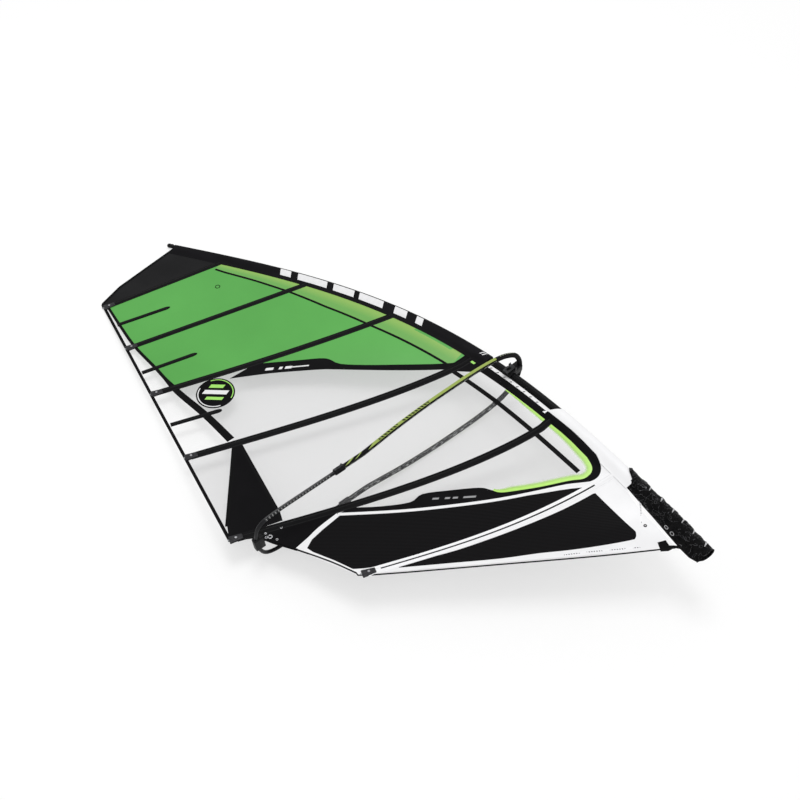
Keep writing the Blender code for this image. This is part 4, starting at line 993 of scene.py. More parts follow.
def flat_tube(name, points, section, finish, nodes, taper=None, step=0.03, lift=0.0):
    """A closed flat tube that follows the cloth; its UV map runs round it and along it."""
    line = vectors(points)
    length = gone_along(line)[-1]
    count = max(4, math.ceil(length / step))
    verts, uvs, faces = [], [], []
    wide = len(section)
    for here in range(count + 1):
        place = here / count * (len(line) - 1)
        part = min(int(place), len(line) - 2)
        middle = line[part].lerp(line[part + 1], place - part)
        ahead = (line[part + 1] - line[part]).normalized()
        size = 1.0 if taper is None else float(np.interp(here / count, *zip(*taper)))
        for index, (across, up) in enumerate(section):
            flat = middle - left_of(ahead) * (across * size)
            verts.append(on_sail(*flat) + Vector((0.0, 0.0, up + lift)))
            uvs.append((index / wide, length * here / count))
    for here in range(count):
        for index in range(wide):
            after = (index + 1) % wide
            faces.append((here * wide + index, here * wide + after, (here + 1) * wide + after,
                          (here + 1) * wide + index))
    faces.append(tuple(range(wide))[::-1])
    faces.append(tuple(count * wide + index for index in range(wide)))
    made = cover_object(name, verts, faces, uvs, finish)
    face_outward(made)
    trims.append((made, line[len(line) // 2]))
    return finish_piece(made, nodes, sharp=50)


def webbing_finish(name, low, high, stitch):
    """Woven pocket cloth with a line of stitches along each hem."""
    made = new_finish(name, high, 0.50, gloss=0.05)
    place = pattern_map(made, False)
    near = figure(made, 'LESS_THAN', figure(made, 'PINGPONG', spot_on(made, place)[0], 0.10), 0.010)
    stitches = waves(made, pattern_map(made, False, (0.0, 1.0, 1.0)), 60.0, 'Y')
    shown = figure(made, 'MULTIPLY', near, figure(made, 'GREATER_THAN', stitches, 0.55))
    connect(made, two_tone(made, shown, mottled(made, place, 12.0, low, high, 5.0), stitch), "Base Color")
    bumped(made, waves(made, place, 200.0, 'Y'), 0.15, 0.0004)
    return made


pocket_side = ((POCKET_HALF, 0.0014), (HEM_IN, 0.0017), (0.0135, 0.0020), (0.0105, 0.0042),
               (0.0070, POCKET_TOP))
half_section = pocket_side + tuple((-across, up) for across, up in reversed(pocket_side))
pocket_section = half_section + tuple((across, -up) for across, up in reversed(half_section))
rod_section = [(ROD_HALF * math.cos(math.tau * turn / 12), ROD_TOP * math.sin(math.tau * turn / 12))
               for turn in range(12)]
pocket_black = webbing_finish("black_pocket_finish", (0.0035, 0.0035, 0.0040), (0.0070, 0.0070, 0.0076),
                              (0.035, 0.035, 0.035))
pocket_white = webbing_finish("white_pocket_finish", (0.84, 0.84, 0.85), (0.91, 0.91, 0.92),
                              (0.60, 0.60, 0.61))
rod_finish = cloth_finish("batten_rod_finish", (0.20, 0.21, 0.20), (0.32, 0.33, 0.31), 0.35)
end_share = 1.0 - (TENSIONER_LENGTH - TENSIONER_PROUD + 0.0016) / 1.2
for number, size in enumerate(POCKET_SIZES):
    middle = [batten_point(number, share) for share in steps_between(0.0, end_share, 24)]
    finish, slot = (pocket_white, "white_laminate") if number == 5 else (pocket_black, "black_cloth")
    flat_tube(f"sewn_pocket_{number + 1}", middle, pocket_section, finish,
              (f"batten_pocket_{number + 1}",), plain_width(size))
    flat_tube(f"glass_rod_{number + 1}", middle[1:], rod_section, rod_finish,
              (f"batten_rod_{number + 1}",))
foot_batten = [batten_point(5, share) for share in steps_between(0.08, 0.93, 24)]
line_section = ((0.0045, 0.0), (0.0045, 0.0012), (-0.0045, 0.0012), (-0.0045, 0.0))
flat_tube("foot_batten_line", foot_batten, line_section, black_tape, (), lift=POCKET_TOP)


def sail_frame(point, ahead):
    """Frame on the cloth: Z square to its surface, X along a direction in the sail's plane."""
    step = 0.01
    up_chord = on_sail(point[0] + step, point[1]) - on_sail(point[0] - step, point[1])
    aft = on_sail(point[0], point[1] + step) - on_sail(point[0], point[1] - step)
    square = up_chord.cross(aft).normalized()
    along = Vector((ahead[0], ahead[1], 0.0))
    along = (along - square * along.dot(square)).normalized()
    turn = Matrix((along, square.cross(along), square)).transposed().to_4x4()
    return Matrix.Translation(on_sail(*point)) @ turn


def put(made, name, place, finish, nodes=(), body="root", sharp=35):
    """Lay a shaped piece in its place in the rig for good."""
    made.name = name
    made.data.name = name
    made.data.transform(rig @ place @ made.matrix_basis)
    made.matrix_basis = Matrix.Identity(4)
    made.data.materials.clear()
    made.data.materials.append(finish)
    return finish_piece(made, nodes, body, sharp)


def shift(x, y=0.0, z=0.0):
    return Matrix.Translation((x, y, z))


def select_none():
    bpy.ops.object.select_all(action='DESELECT')


def block(size, middle=(0.0, 0.0, 0.0), bevel=0.0, segments=2):
    """A block of this size with rounded edges, shaped in edit mode."""
    select_none()
    bpy.ops.mesh.primitive_cube_add(size=1.0)
    made = bpy.context.object
    edit_all(made)
    bpy.ops.transform.resize(value=size)
    bpy.ops.transform.translate(value=middle)
    if bevel:
        bpy.ops.mesh.bevel(offset=bevel, segments=segments, affect='EDGES')
    edit_done()
    return made


def evenly(width):
    return -width / 2, width / 2


def filled(spans, bevel=0.0, segments=2):
    """A block that fills these spans of X, Y and Z."""
    return block([end - start for start, end in spans], [(start + end) / 2 for start, end in spans], bevel,
                 segments)


def turned(outline, sides=32, closed=False):
    """A turned piece: a ring is extruded and resized from each (radius, height) to the next."""
    select_none()
    radius, height = outline[0]
    bpy.ops.mesh.primitive_circle_add(vertices=sides, radius=radius)
    made = bpy.context.object
    edit_all(made)
    bpy.ops.transform.translate(value=(0.0, 0.0, height))
    for (before, low), (after, high) in zip(outline, outline[1:]):
        bpy.ops.mesh.extrude_region_move(TRANSFORM_OT_translate={"value": (0.0, 0.0, high - low)})
        bpy.ops.transform.resize(value=(after / before, after / before, 1.0))
    edit_done()
    last = len(made.data.vertices) - sides
    ends = list(range(sides)), list(range(last, last + sides))
    if closed:
        select_verts(made, ends[0] + ends[1])
        bpy.ops.mesh.bridge_edge_loops()
        edit_done()
    else:
        for end in ends:
            select_verts(made, end)
            bpy.ops.mesh.edge_face_add()
            edit_done()
    face_outward(made)
    return made


def pin(radius, half, sides=20):
    """A plain round pin about its middle."""
    return turned(((radius, -half), (radius, half)), sides)


def ring_groove(radius, depth, start, edge, wide):
    """Outline points of a groove round a turned piece."""
    return [(radius, start), (radius - depth, start + edge), (radius - depth, start + wide - edge),
            (radius, start + wide)]


def select_verts(made, chosen):
    """Edit a piece with these of its points selected."""
    edit_all(made)
    bpy.ops.mesh.select_mode(type='VERT')
    bpy.ops.mesh.select_all(action='DESELECT')
    edit_done()
    for index in chosen:
        made.data.vertices[index].select = True
    bpy.ops.object.mode_set(mode='EDIT')


def joined(*parts):
    select_none()
    for part in parts:
        part.select_set(True)
    bpy.context.view_layer.objects.active = parts[0]
    bpy.ops.object.join()
    return parts[0]


def cut_away(made, tool):
    """Take the tool's shape out of a piece."""
    apply_step(made, 'BOOLEAN', object=tool, operation='DIFFERENCE', solver='EXACT')
    bpy.data.objects.remove(tool, do_unlink=True)


def moved(made, place):
    made.data.transform(place)
    return made


def moulded_finish(name, low, high, roughness, grain=0.25):
    """Moulded plastic: a fine spark-eroded grain and slightly rubbed high spots."""
    made = new_finish(name, high, roughness, gloss=0.13)
    place = pattern_map(made, True)
    connect(made, mottled(made, place, 60.0, low, high, 5.0), "Base Color")
    bumped(made, clouds(made, place, 1800.0), grain, 0.0003)
    spread = add_node(made, "MapRange", {"Value": clouds(made, place, 140.0), "To Min": roughness - 0.08,
                                         "To Max": roughness + 0.10})
    connect(made, spread.outputs[0], "Roughness")
    return made


def brushed_finish(name, colour, roughness):
    """Bare metal with fine turning marks."""
    made = new_finish(name, colour, roughness, 1.0)
    marks = clouds(made, pattern_map(made, True, (40.0, 400.0, 400.0)), 4.0, 3.0)
    connect(made, ramp(made, marks, ((0.3, shade(colour, 0.85)), (0.7, colour))), "Base Color")
    bumped(made, marks, 0.08, 0.0002)
    return made


black_plastic = moulded_finish("black_plastic_finish", (0.004, 0.004, 0.0044), (0.010, 0.010, 0.011), 0.40)
dark_plastic = moulded_finish("dark_cap_finish", (0.018, 0.018, 0.020), (0.042, 0.042, 0.045), 0.40)
grey_plastic = moulded_finish("grey_plastic_finish", (0.20, 0.21, 0.22), (0.34, 0.35, 0.36), 0.38)
screw_metal = brushed_finish("screw_finish", (0.50, 0.50, 0.52), 0.32)


def end_cap(number):
    """Tapered shell over a pocket's end, its bore left open for the tensioner."""
    end = Vector(BATTEN_LEECH[number])
    ahead = (end - batten_point(number, 0.95)).normalized()
    made = block((CAP_LENGTH, 1.0, 1.0), (-CAP_LENGTH / 2, 0.0, 0.0))
    for vert in made.data.vertices:
        wide, high = CAP_LUFF if vert.co.x < -CAP_LENGTH / 2 else CAP_LEECH
        vert.co.y *= wide
        vert.co.z *= high
    edit_all(made)
    bpy.ops.mesh.subdivide(number_cuts=1)
    bpy.ops.mesh.bevel(offset=0.0045, segments=3, affect='EDGES')
    edit_done()
    moved(made, shift(CAP_PROUD - 0.012))
    cut_away(made, moved(pin(TENSIONER_R + 0.0010, 0.040, 24), Matrix.Rotation(math.pi / 2, 4, 'Y')))
    put(made, f"batten_end_cap_{number + 1}", sail_frame(end, ahead), dark_plastic)
    head = turned(((0.0001, 0.0030), (0.0024, 0.0030), (0.0028, 0.0046), (0.0060, 0.0046), (0.0078, 0.0030),
                   (0.0078, 0.0), (0.0001, 0.0)), 24)
    lie = sail_frame(end, ahead) @ shift(-0.045, 0.0, CAP_LUFF[1] / 2 + 0.0012)
    put(head, f"end_cap_screw_{number + 1}", lie, screw_metal)


def tensioner(number):
    """Threaded plug with a six-sided key hole, on the batten's axis."""
    end = Vector(BATTEN_LEECH[number])
    start = batten_end(number)
    axis = on_sail(*end) - start
    turn = Vector((0, 0, 1)).rotation_difference(axis).to_matrix().to_4x4()
    long, edge = TENSIONER_LENGTH, 0.0015
    outline = [(TENSIONER_R - 0.002, 0.0)]
    for thread in range(7):
        outline += [(TENSIONER_R - 0.0008, 0.002 + thread * 0.003), (TENSIONER_R, 0.0035 + thread * 0.003)]
    outline += [(TENSIONER_R, long - edge), (TENSIONER_R - edge, long)]
    made = turned(outline, 24)
    cut_away(made, turned(((KEY_R, long - KEY_DEPTH), (KEY_R, long + 0.005)), 6))
    put(made, f"tensioner_plug_{number + 1}", Matrix.Translation(start) @ turn, grey_plastic,
        (f"batten_tensioner_{number + 1}",), f"batten_tensioner_{number + 1}")


def batten_end(number):
    """Point on the cloth where a tensioner starts, as deep in the pocket as it is long."""
    start = by_mast(BATTEN_LUFF[number], SEAM_AFT + 0.0003).xy
    span = Vector(BATTEN_LEECH[number]) - start
    return on_sail(*(start + span * (1 - (TENSIONER_LENGTH - TENSIONER_PROUD) / span.length)))


for number in range(6):
    end_cap(number)
    tensioner(number)

mini_section = [(0.58 * across, up) for across, up in half_section]
mini_section += [(across, -0.0012) for across, up in reversed(mini_section)]
for number, (aft, fore) in enumerate(MINI_BATTENS):
    line = [Vector(aft).lerp(Vector(fore), share) for share in steps_between(0.0, 1.0, 12)]
    flat_tube(f"short_batten_{number + 1}", line, mini_section, pocket_black,
              (f"mini_batten_{number + 1}",), MINI_SIZES, 0.008)


# The mast is a tapered carbon tube in two lengths. A ferrule in the bottom one's end carries the top
# one, and a turned plastic plug closes the tip.
MAST_SPLIT = 2.10
MAST_TOP_END = 4.53
MAST_WALL = 0.0035
FERRULE_R = 0.0165
FERRULE_LENGTH = 0.17
FERRULE_DEPTH = 0.10


def round_tube(name, route, radius, place, finish, nodes=(), body="root", wall=0.0, facing=(1.0, 0.0),
               radii=None, sides=6):
    """Tube along a route. Its UV map holds the metres along it and how squarely each spot faces a
    chosen side: 1 on that side of the bend, -1 on the far one."""
    select_none()
    bpy.ops.curve.primitive_nurbs_path_add()
    path = bpy.context.object
    spline = path.data.splines[0]
    spline.type = 'POLY'
    spline.points.add(len(route) - len(spline.points))
    for index, (point, knot) in enumerate(zip(route, spline.points)):
        knot.co = (*point, 1.0)
        knot.radius = 1.0 if radii is None else radii[index] / radius
    path.data.bevel_depth = radius
    path.data.bevel_resolution = sides
    path.data.twist_mode = 'Z_UP'
    path.data.use_fill_caps = not wall
    bpy.ops.object.convert(target='MESH')
    made = bpy.context.object
    mesh = made.data
    around = 2 * (sides + 2)
    lengths = gone_along(route)
    pattern = mesh.uv_layers.active or mesh.uv_layers.new()
    pattern.name = "cut"
    last = len(route) - 1
    for corner in mesh.loops:
        ring = min(corner.vertex_index // around, last)
        ahead = (route[min(ring + 1, last)] - route[max(ring - 1, 0)]).normalized()
        out = (mesh.vertices[corner.vertex_index].co - route[ring]).normalized()
        left = Vector((0.0, 0.0, 1.0)).cross(ahead)
        pattern.data[corner.index].uv = (lengths[ring], facing[0] * out.z + facing[1] * out.dot(left))
    if wall:
        apply_step(made, 'SOLIDIFY', thickness=wall, offset=-1.0)
    return put(made, name, place, finish, nodes, body, 50)


def carbon_finish():
    """Wound carbon under thin lacquer: dark, with faint slanting bands."""
    made = new_finish("mast_finish", (0.012, 0.012, 0.013), 0.38, gloss=0.10)
    bands = waves(made, pattern_map(made, False, (1.0, 0.05, 1.0), 0.5), 22.0, 'X', 1.5, 3.0)
    colours = ((0.2, (0.0035, 0.0035, 0.0040)), (0.9, (0.0080, 0.0080, 0.0090)))
    connect(made, ramp(made, bands, colours), "Base Color")
    bumped(made, bands, 0.08, 0.0004)
    return made


still = Matrix.Identity(4)
carbon = carbon_finish()
for name, node, low, high in (("mast_lower_tube", "mast_bottom", MAST_BOTTOM_END, MAST_SPLIT),
                              ("mast_upper_tube", "mast_top", MAST_SPLIT + 0.0004, MAST_TOP_END)):
    stations = steps_between(low, high, 70)
    round_tube(name, [by_mast(u) for u in stations], MAST_FOOT_R, still, carbon, (node,),
               wall=MAST_WALL, radii=[mast_radius(u) for u in stations])
ferrule = [by_mast(u) for u in steps_between(MAST_SPLIT - FERRULE_DEPTH, MAST_SPLIT + FERRULE_LENGTH, 8)]
round_tube("mast_ferrule", ferrule, FERRULE_R, still, carbon, wall=MAST_WALL)
tip_r = mast_radius(MAST_TOP_END)
tip = ((tip_r + 0.0012, 0.0004), (0.0175, 0.010), (0.0180, 0.014), (0.0180, 0.020), (0.0160, 0.022),
       (0.0160, 0.030), (0.0180, 0.032), (0.0180, 0.040), (0.0172, 0.046), (0.0140, 0.054), (0.0080, 0.0585),
       (0.0020, 0.060))
put(turned(tip, 28), "tip_plug", mast_frame(MAST_TOP_END), black_plastic, ("tip_cap",))


# The boom bends in one plane, which the mast crosses: a front tube in black grip foam, two arms in
# lime and black grip foam, and a narrower bare tail tube that slides in both arms.
BOOM_STATION = 1.585
BOOM_ANGLE = math.radians(78.8)
FRONT_ROUTE = ((0.14, 0.230), (0.05, 0.205), (-0.04, 0.150), (-0.085, 0.075), (-0.096, 0.0))
ARM_ROUTE = ((0.14, 0.230), (0.23, 0.242), (0.34, 0.249), (0.45, 0.250), (0.70, 0.245), (0.95, 0.225),
             (1.15, 0.195), (1.24, 0.181), (1.29, 0.178), (1.34, 0.178), (1.44, 0.178))
TAIL_ROUTE = ((1.30, 0.178), (1.50, 0.178), (1.70, 0.178), (1.90, 0.177), (1.99, 0.167), (2.045, 0.135),
              (2.072, 0.075), (2.080, 0.0))
GRIP_R = 0.0175
ARM_R = 0.0165
ARM_BORE_R = 0.0136
TAIL_R = 0.0125
TAIL_BORE_R = 0.0100
GRIP_BLACK = (0.005, 0.005, 0.0054)
GRIP_LIME = (0.33, 0.42, 0.105)
LIME_FROM = 0.02
LOOP_PIECES = 8


def boom_frame():
    aft = Vector((math.cos(BOOM_ANGLE), math.sin(BOOM_ANGLE), 0.0))
    up = Vector((0.0, 0.0, 1.0))
    turn = Matrix((aft, up, aft.cross(up))).transposed().to_4x4()
    return Matrix.Translation(by_mast(BOOM_STATION)) @ turn


def bent_route(half):
    """Smooth route in the boom's plane, the same on both sides of the sail."""
    both = list(half) + [(x, -y) for x, y in reversed(half[:-1])]
    return [point.to_3d() for point in through(both, LOOP_PIECES)]


def in_band(made, value, middle, half):
    return figure(made, 'COMPARE', value, middle, half)


def tube_places(made):
    """Metres along a tube, and how squarely it faces its printed side."""
    return spot_on(made, pattern_map(made, False))


def foam_finish(name, colour):
    made = new_finish(name, GRIP_BLACK, 0.72, gloss=0.12)
    connect(made, colour(made), "Base Color")
    bumped(made, waves(made, pattern_map(made, False, (1.0, 0.02, 1.0), 0.25), 34.0), 0.30, 0.0012)
    return made


def foam_shades(made, colour, spread=0.75):
    return mottled(made, pattern_map(made, True), 80.0, shade(colour, spread), colour)


def front_colour(made):
    """Black foam with short pale dashes on its upper face."""
    along, face = tube_places(made)
    dash = figure(made, 'LESS_THAN', figure(made, 'PINGPONG', along, 0.011), 0.0045)
    rows = figure(made, 'MULTIPLY', dash, in_band(made, face, 0.72, 0.14))
    zone = figure(made, 'MAXIMUM', in_band(made, along, 0.105, 0.075), in_band(made, along, 0.29, 0.03))
    shown = figure(made, 'MULTIPLY', rows, zone)
    return two_tone(made, shown, foam_shades(made, GRIP_BLACK), (0.46, 0.50, 0.36))


def arm_colour(made):
    """Lime above a black underside, with a scale of slanted ticks and bold bars at the aft end. The
    inner side is black with fine pale scratches of print."""
    along, face = tube_places(made)
    lime = figure(made, 'GREATER_THAN', face, LIME_FROM)
    slant = figure(made, 'MULTIPLY_ADD', face, -0.018, along)
    tick = figure(made, 'LESS_THAN', figure(made, 'PINGPONG', slant, 0.0125), 0.0075)
    ticks = figure(made, 'MULTIPLY', tick, in_band(made, face, 0.55, 0.36))
    ticks = figure(made, 'MULTIPLY', ticks, in_band(made, along, 0.785, 0.205))
    gap = in_band(made, along, 0.815, 0.020)
    ticks = figure(made, 'MULTIPLY', ticks, figure(made, 'SUBTRACT', 1.0, gap))
    bold = figure(made, 'MULTIPLY_ADD', face, 0.055, along)
    bars = figure(made, 'MAXIMUM', in_band(made, bold, 1.130, 0.044), in_band(made, bold, 1.215, 0.024))
    tail = figure(made, 'GREATER_THAN', bold, 1.268)
    dark = figure(made, 'MAXIMUM', figure(made, 'MAXIMUM', ticks, bars), tail)
    shown = figure(made, 'MULTIPLY', lime, figure(made, 'SUBTRACT', 1.0, dark))
    streaks = clouds(made, pattern_map(made, False, (14.0, 7.0, 1.0), 0.5), 2.2, 1.0)
    inside = figure(made, 'LESS_THAN', face, -0.45)
    pale = figure(made, 'MULTIPLY', figure(made, 'GREATER_THAN', streaks, 0.57), inside)
    inner = two_tone(made, pale, foam_shades(made, GRIP_BLACK), (0.34, 0.35, 0.34))
    return two_tone(made, shown, inner, foam_shades(made, GRIP_LIME, 0.86))


def tail_finish():
    """Black drawn tube with a painted highlight line and a row of plain dashes along one side."""
    made = new_finish("tail_tube_finish", (0.010, 0.010, 0.011), 0.30, gloss=0.20)
    along, face = tube_places(made)
    dash = figure(made, 'LESS_THAN', figure(made, 'PINGPONG', along, 0.011), 0.0042)
    shown = figure(made, 'MULTIPLY', dash, in_band(made, face, 0.86, 0.12))
    zone = in_band(made, along, 0.45, 0.24)
    drawn = mottled(made, pattern_map(made, True), 25.0, (0.006, 0.006, 0.007), (0.013, 0.013, 0.015))
    # The pale band down one side is a painted highlight: the lamp's gleam along the tube, put into its colour.
    line = figure(made, 'MULTIPLY', in_band(made, face, 0.30, 0.16), zone)
    painted_highlight_tube = two_tone(made, line, drawn, (0.085, 0.085, 0.088))
    printed = two_tone(made, figure(made, 'MULTIPLY', shown, zone), painted_highlight_tube, (0.24, 0.24, 0.24))
    connect(made, printed, "Base Color")
    bumped(made, clouds(made, pattern_map(made, False, (0.6, 60.0, 1.0)), 6.0), 0.05, 0.0003)
    return made


boom = boom_frame()
front_foam = foam_finish("black_grip_finish", front_colour)
arm_foam = foam_finish("lime_grip_finish", arm_colour)
tail_metal = tail_finish()
whole_loop = bent_route(ARM_ROUTE[::-1] + FRONT_ROUTE[1:])
arm_end = (len(ARM_ROUTE) - 1) * LOOP_PIECES
round_tube("front_grip", whole_loop[arm_end:-arm_end], GRIP_R, boom, front_foam, ("boom_front",),
           wall=GRIP_R - ARM_BORE_R, facing=(0.75, -0.66))
arm = whole_loop[:arm_end + 1][::-1]
arm[0] = arm[0] + Vector((0.0006, 0.0, 0.0))
sides = (("upper", boom, (0.75, 0.66)), ("lower", boom @ Matrix.Rotation(math.pi, 4, 'X'), (-0.75, 0.66)))
for side, place, facing in sides:
    round_tube(f"{side}_arm_grip", arm, ARM_R, place, arm_foam, (f"arm_{side}",),
               wall=ARM_R - ARM_BORE_R, facing=facing)
tail = bent_route(TAIL_ROUTE)
round_tube("tail_loop", tail, TAIL_R, boom, tail_metal, ("tail_tube",), "boom_tail",
           wall=TAIL_R - TAIL_BORE_R, facing=(-0.94, 0.34))


# Collars close the arms' aft ends round the tail tube. Each is a moulded ring with grip grooves, and a
# clip swings shut over it on a pin between its two ears.
COLLAR_REACH = (1.405, 1.478)
COLLAR_R = 0.0215
CLIP_PIVOT = (1.418, 0.027)
CLIP_LENGTH = 0.058
CLIP_WIDTH = 0.015
CLIP_THICK = 0.0056
CLIP_BARREL = (0.0040, 0.017)
CLIP_PIN = (0.0016, 0.023)
PIN_ROOM = 0.0006
EAR_INSIDE = 0.0088
TUBE_ROOM = 0.0009

lever_plastic = moulded_finish("lever_finish", (0.030, 0.031, 0.033), (0.065, 0.066, 0.070), 0.34)


def pin_barrel(pin, barrel, sides=24):
    """A lever's barrel with its pin's ends standing out of it."""
    (pin_r, pin_long), (barrel_r, barrel_long) = pin, barrel
    reach, end = barrel_long / 2, pin_long / 2 - 0.0003
    return turned(((pin_r, -end), (pin_r, -reach), (barrel_r, -reach), (barrel_r, reach), (pin_r, reach),
                   (pin_r, end)), sides)


def ears(pivot, reach, long, inside, outside, pin_r, edge, sides):
    """Two ears, one on each side of a lever, with its pin's bore through them."""
    made = []
    for way in (-1, 1):
        ear = block((long, reach[1] - reach[0], outside - inside),
                    (pivot[0], sum(reach) / 2, way * (inside + outside) / 2), edge)
        cut_away(ear, moved(pin(pin_r + PIN_ROOM, 2 * outside, sides), shift(*pivot)))
        made.append(ear)
    return made


def collar(side, place):
    low, high = COLLAR_REACH
    tube_y = ARM_ROUTE[-1][1]
    length, step = high - low, ARM_ROUTE[-1][0] + 0.0006 - low
    wide, narrow = ARM_R + TUBE_ROOM, TAIL_R + TUBE_ROOM
    outline = [(wide, 0.0), (COLLAR_R - 0.002, 0.0), (COLLAR_R, 0.002)]
    for number in range(4):
        outline += ring_groove(COLLAR_R, 0.0015, 0.036 + number * 0.0075, 0.0010, 0.0040)
    outline += [(COLLAR_R, length - 0.003), (COLLAR_R - 0.003, length), (narrow, length), (narrow, step),
                (wide, step)]
    along_arm = shift(low, tube_y) @ Matrix.Rotation(math.pi / 2, 4, 'Y')
    parts = [moved(turned(outline, 32, True), along_arm)]
    pivot = (CLIP_PIVOT[0], tube_y + CLIP_PIVOT[1])
    parts += ears(pivot, (tube_y + COLLAR_R - 0.003, pivot[1] + 0.005), 0.010, EAR_INSIDE, CLIP_PIN[1] / 2,
                  CLIP_PIN[0], 0.0008, 16)
    put(joined(*parts), f"{side}_collar", place, black_plastic, (f"collar_{side}",))
    plate = block((CLIP_LENGTH - 0.001, CLIP_THICK, CLIP_WIDTH), (CLIP_LENGTH / 2 + 0.0005, 0.0, 0.0), 0.0016)
    cut_away(plate, block((0.026, 0.02, 0.006), (0.030, 0.0, 0.0), 0.0020))
    lip = block((0.008, CLIP_THICK, CLIP_WIDTH * 0.8), (CLIP_LENGTH - 0.0045, 0.0002, 0.0), 0.0012)
    put(joined(pin_barrel(CLIP_PIN, CLIP_BARREL), plate, lip), f"{side}_clip_lever",
        place @ shift(*pivot), lever_plastic, (f"clip_{side}",), f"clip_{side}")


for side, place, _ in sides:
    collar(side, place)


# The boom head clamps round the mast. Its ribbed ring has a neck that cradles the front tube, and a
# lever on a pin between two ears pulls it shut.
CLAMP_BORE = 0.0250
CLAMP_R = 0.0385
CLAMP_HALF = 0.037
NECK_REACH = (-0.102, -0.022)
NECK_SIZE = (0.056, 0.060)
SADDLE_R = GRIP_R + 0.0006
LEVER_PIVOT = (-0.030, 0.048)
LEVER_LENGTH = 0.078
LEVER_WIDTH = 0.044
LEVER_THICK = 0.0086
LEVER_BARREL = (0.0065, 0.048)
LEVER_PIN = (0.0030, 0.060)
LEVER_EAR = 0.006

head = mast_frame(BOOM_STATION)
outline = [(CLAMP_BORE, -CLAMP_HALF), (CLAMP_R - 0.004, -CLAMP_HALF), (CLAMP_R, 0.004 - CLAMP_HALF)]
for rib in (-0.020, -0.006, 0.008, 0.022):
    outline += ring_groove(CLAMP_R, 0.002, rib - 0.003, 0.0015, 0.006)
outline += [(CLAMP_R, CLAMP_HALF - 0.004), (CLAMP_R - 0.004, CLAMP_HALF), (CLAMP_BORE, CLAMP_HALF)]
neck = filled((NECK_REACH, evenly(NECK_SIZE[0]), evenly(NECK_SIZE[1])), 0.006, 3)
cut_away(neck, pin(CLAMP_BORE + 0.004, 0.05, 36))
saddle = round_tube("saddle", whole_loop[arm_end:-arm_end], SADDLE_R, still, black_plastic)
saddle.data.transform(head.inverted() @ boom @ rig.inverted())
cut_away(neck, saddle)
inside = LEVER_BARREL[1] / 2 + 0.0003
lever_ears = ears(LEVER_PIVOT, (0.022, LEVER_PIVOT[1] + 0.0075), 0.020, inside, inside + LEVER_EAR,
                  LEVER_PIN[0], 0.0016, 20)
put(joined(turned(outline, 36, True), neck, *lever_ears), "boom_head", head, black_plastic,
    ("head_clamp",))
plate = block((LEVER_LENGTH - 0.001, LEVER_THICK, LEVER_WIDTH), (LEVER_LENGTH / 2 + 0.0005, 0.0, 0.0), 0.0030, 3)
cut_away(plate, block((0.040, 0.03, 0.022), (0.040, 0.0, 0.0), 0.004, 3))
put(joined(pin_barrel(LEVER_PIN, LEVER_BARREL), plate), "head_lever",
    head @ shift(*LEVER_PIVOT), lever_plastic, ("clamp_lever",), "clamp_lever")


# The tail fitting is a moulded block round the boom's tail. The outhaul pulley turns on an axle in its
# slot, and grooves on both faces jam the line's end.
TAIL_BLOCK = ((2.034, 2.101), 0.050, 0.0185)
TAIL_SLOT = ((2.030, 2.0615), 0.036)
TAIL_SHEAVE_AT = 2.047
SLOT_WIDTH = 0.0104
AXLE_R = 0.0030
AXLE_HALF = SLOT_WIDTH / 2 + 0.001
SHEAVE_R = 0.0130
SHEAVE_GROOVE_R = 0.0095
SHEAVE_BORE = 0.0033
SHEAVE_HALF = 0.0045

(low, high), half_y, half_z = TAIL_BLOCK
fitting = filled(((low, high), (-half_y, half_y), (-half_z, half_z)), 0.006, 3)
saddle = round_tube("saddle", tail, TAIL_R + 0.0006, still, black_plastic)
saddle.data.transform(rig.inverted())
cut_away(fitting, saddle)
(slot_low, slot_high), slot_half = TAIL_SLOT
cut_away(fitting, filled(((slot_low - 0.01, slot_high), (-slot_half, slot_half), evenly(SLOT_WIDTH))))
for way in (-1, 1):
    for number in range(4):
        cut_away(fitting, block((0.003, 2 * half_y - 0.024, 0.003),
                                (high - 0.010 - number * 0.008, 0.0, way * (half_z + 0.0005))))
fitting = joined(fitting, moved(pin(AXLE_R, AXLE_HALF), shift(TAIL_SHEAVE_AT)))
put(fitting, "tail_block", boom, black_plastic, ("tail_fitting",), "boom_tail")


def sheave(name, place, node):
    """A small pulley with a round groove and a hub ring on each face."""
    half = ((SHEAVE_GROOVE_R, 0.0012), (SHEAVE_GROOVE_R + 0.0012, 0.0020), (SHEAVE_R, 0.0040),
            (SHEAVE_R - 0.0004, SHEAVE_HALF), (0.0078, SHEAVE_HALF), (0.0070, SHEAVE_HALF - 0.0010),
            (0.0058, SHEAVE_HALF - 0.0010), (0.0052, SHEAVE_HALF), (SHEAVE_BORE, SHEAVE_HALF))
    outline = [(radius, -height) for radius, height in half[::-1]] + list(half)
    put(turned(outline, 32, True), name, place, grey_plastic, (node,), node)


sheave("outhaul_pulley", boom @ shift(TAIL_SHEAVE_AT), "outhaul_sheave")


# The mast extension is a bright tube that slides in the mast. Its moulded cup takes the deck joint's
# pin and holds the lower downhaul pulley between two cheeks.
EXTENSION_R = 0.0195
EXTENSION_BORE = 0.0165
EXTENSION_REACH = (-0.200, 0.150)
CUP_R = 0.0245
CUP_BORE = 0.0202
CUP_REACH = (-0.250, -0.150)
SOCKET_R = 0.0085
SOCKET_DEPTH = 0.045
CUP_BLOCK = ((0.0215, 0.058), (-0.208, -0.172))
BLOCK_WIDTH = 0.021
DOWNHAUL_AFT = 0.0445
CUP_SHEAVE_UP = -0.190

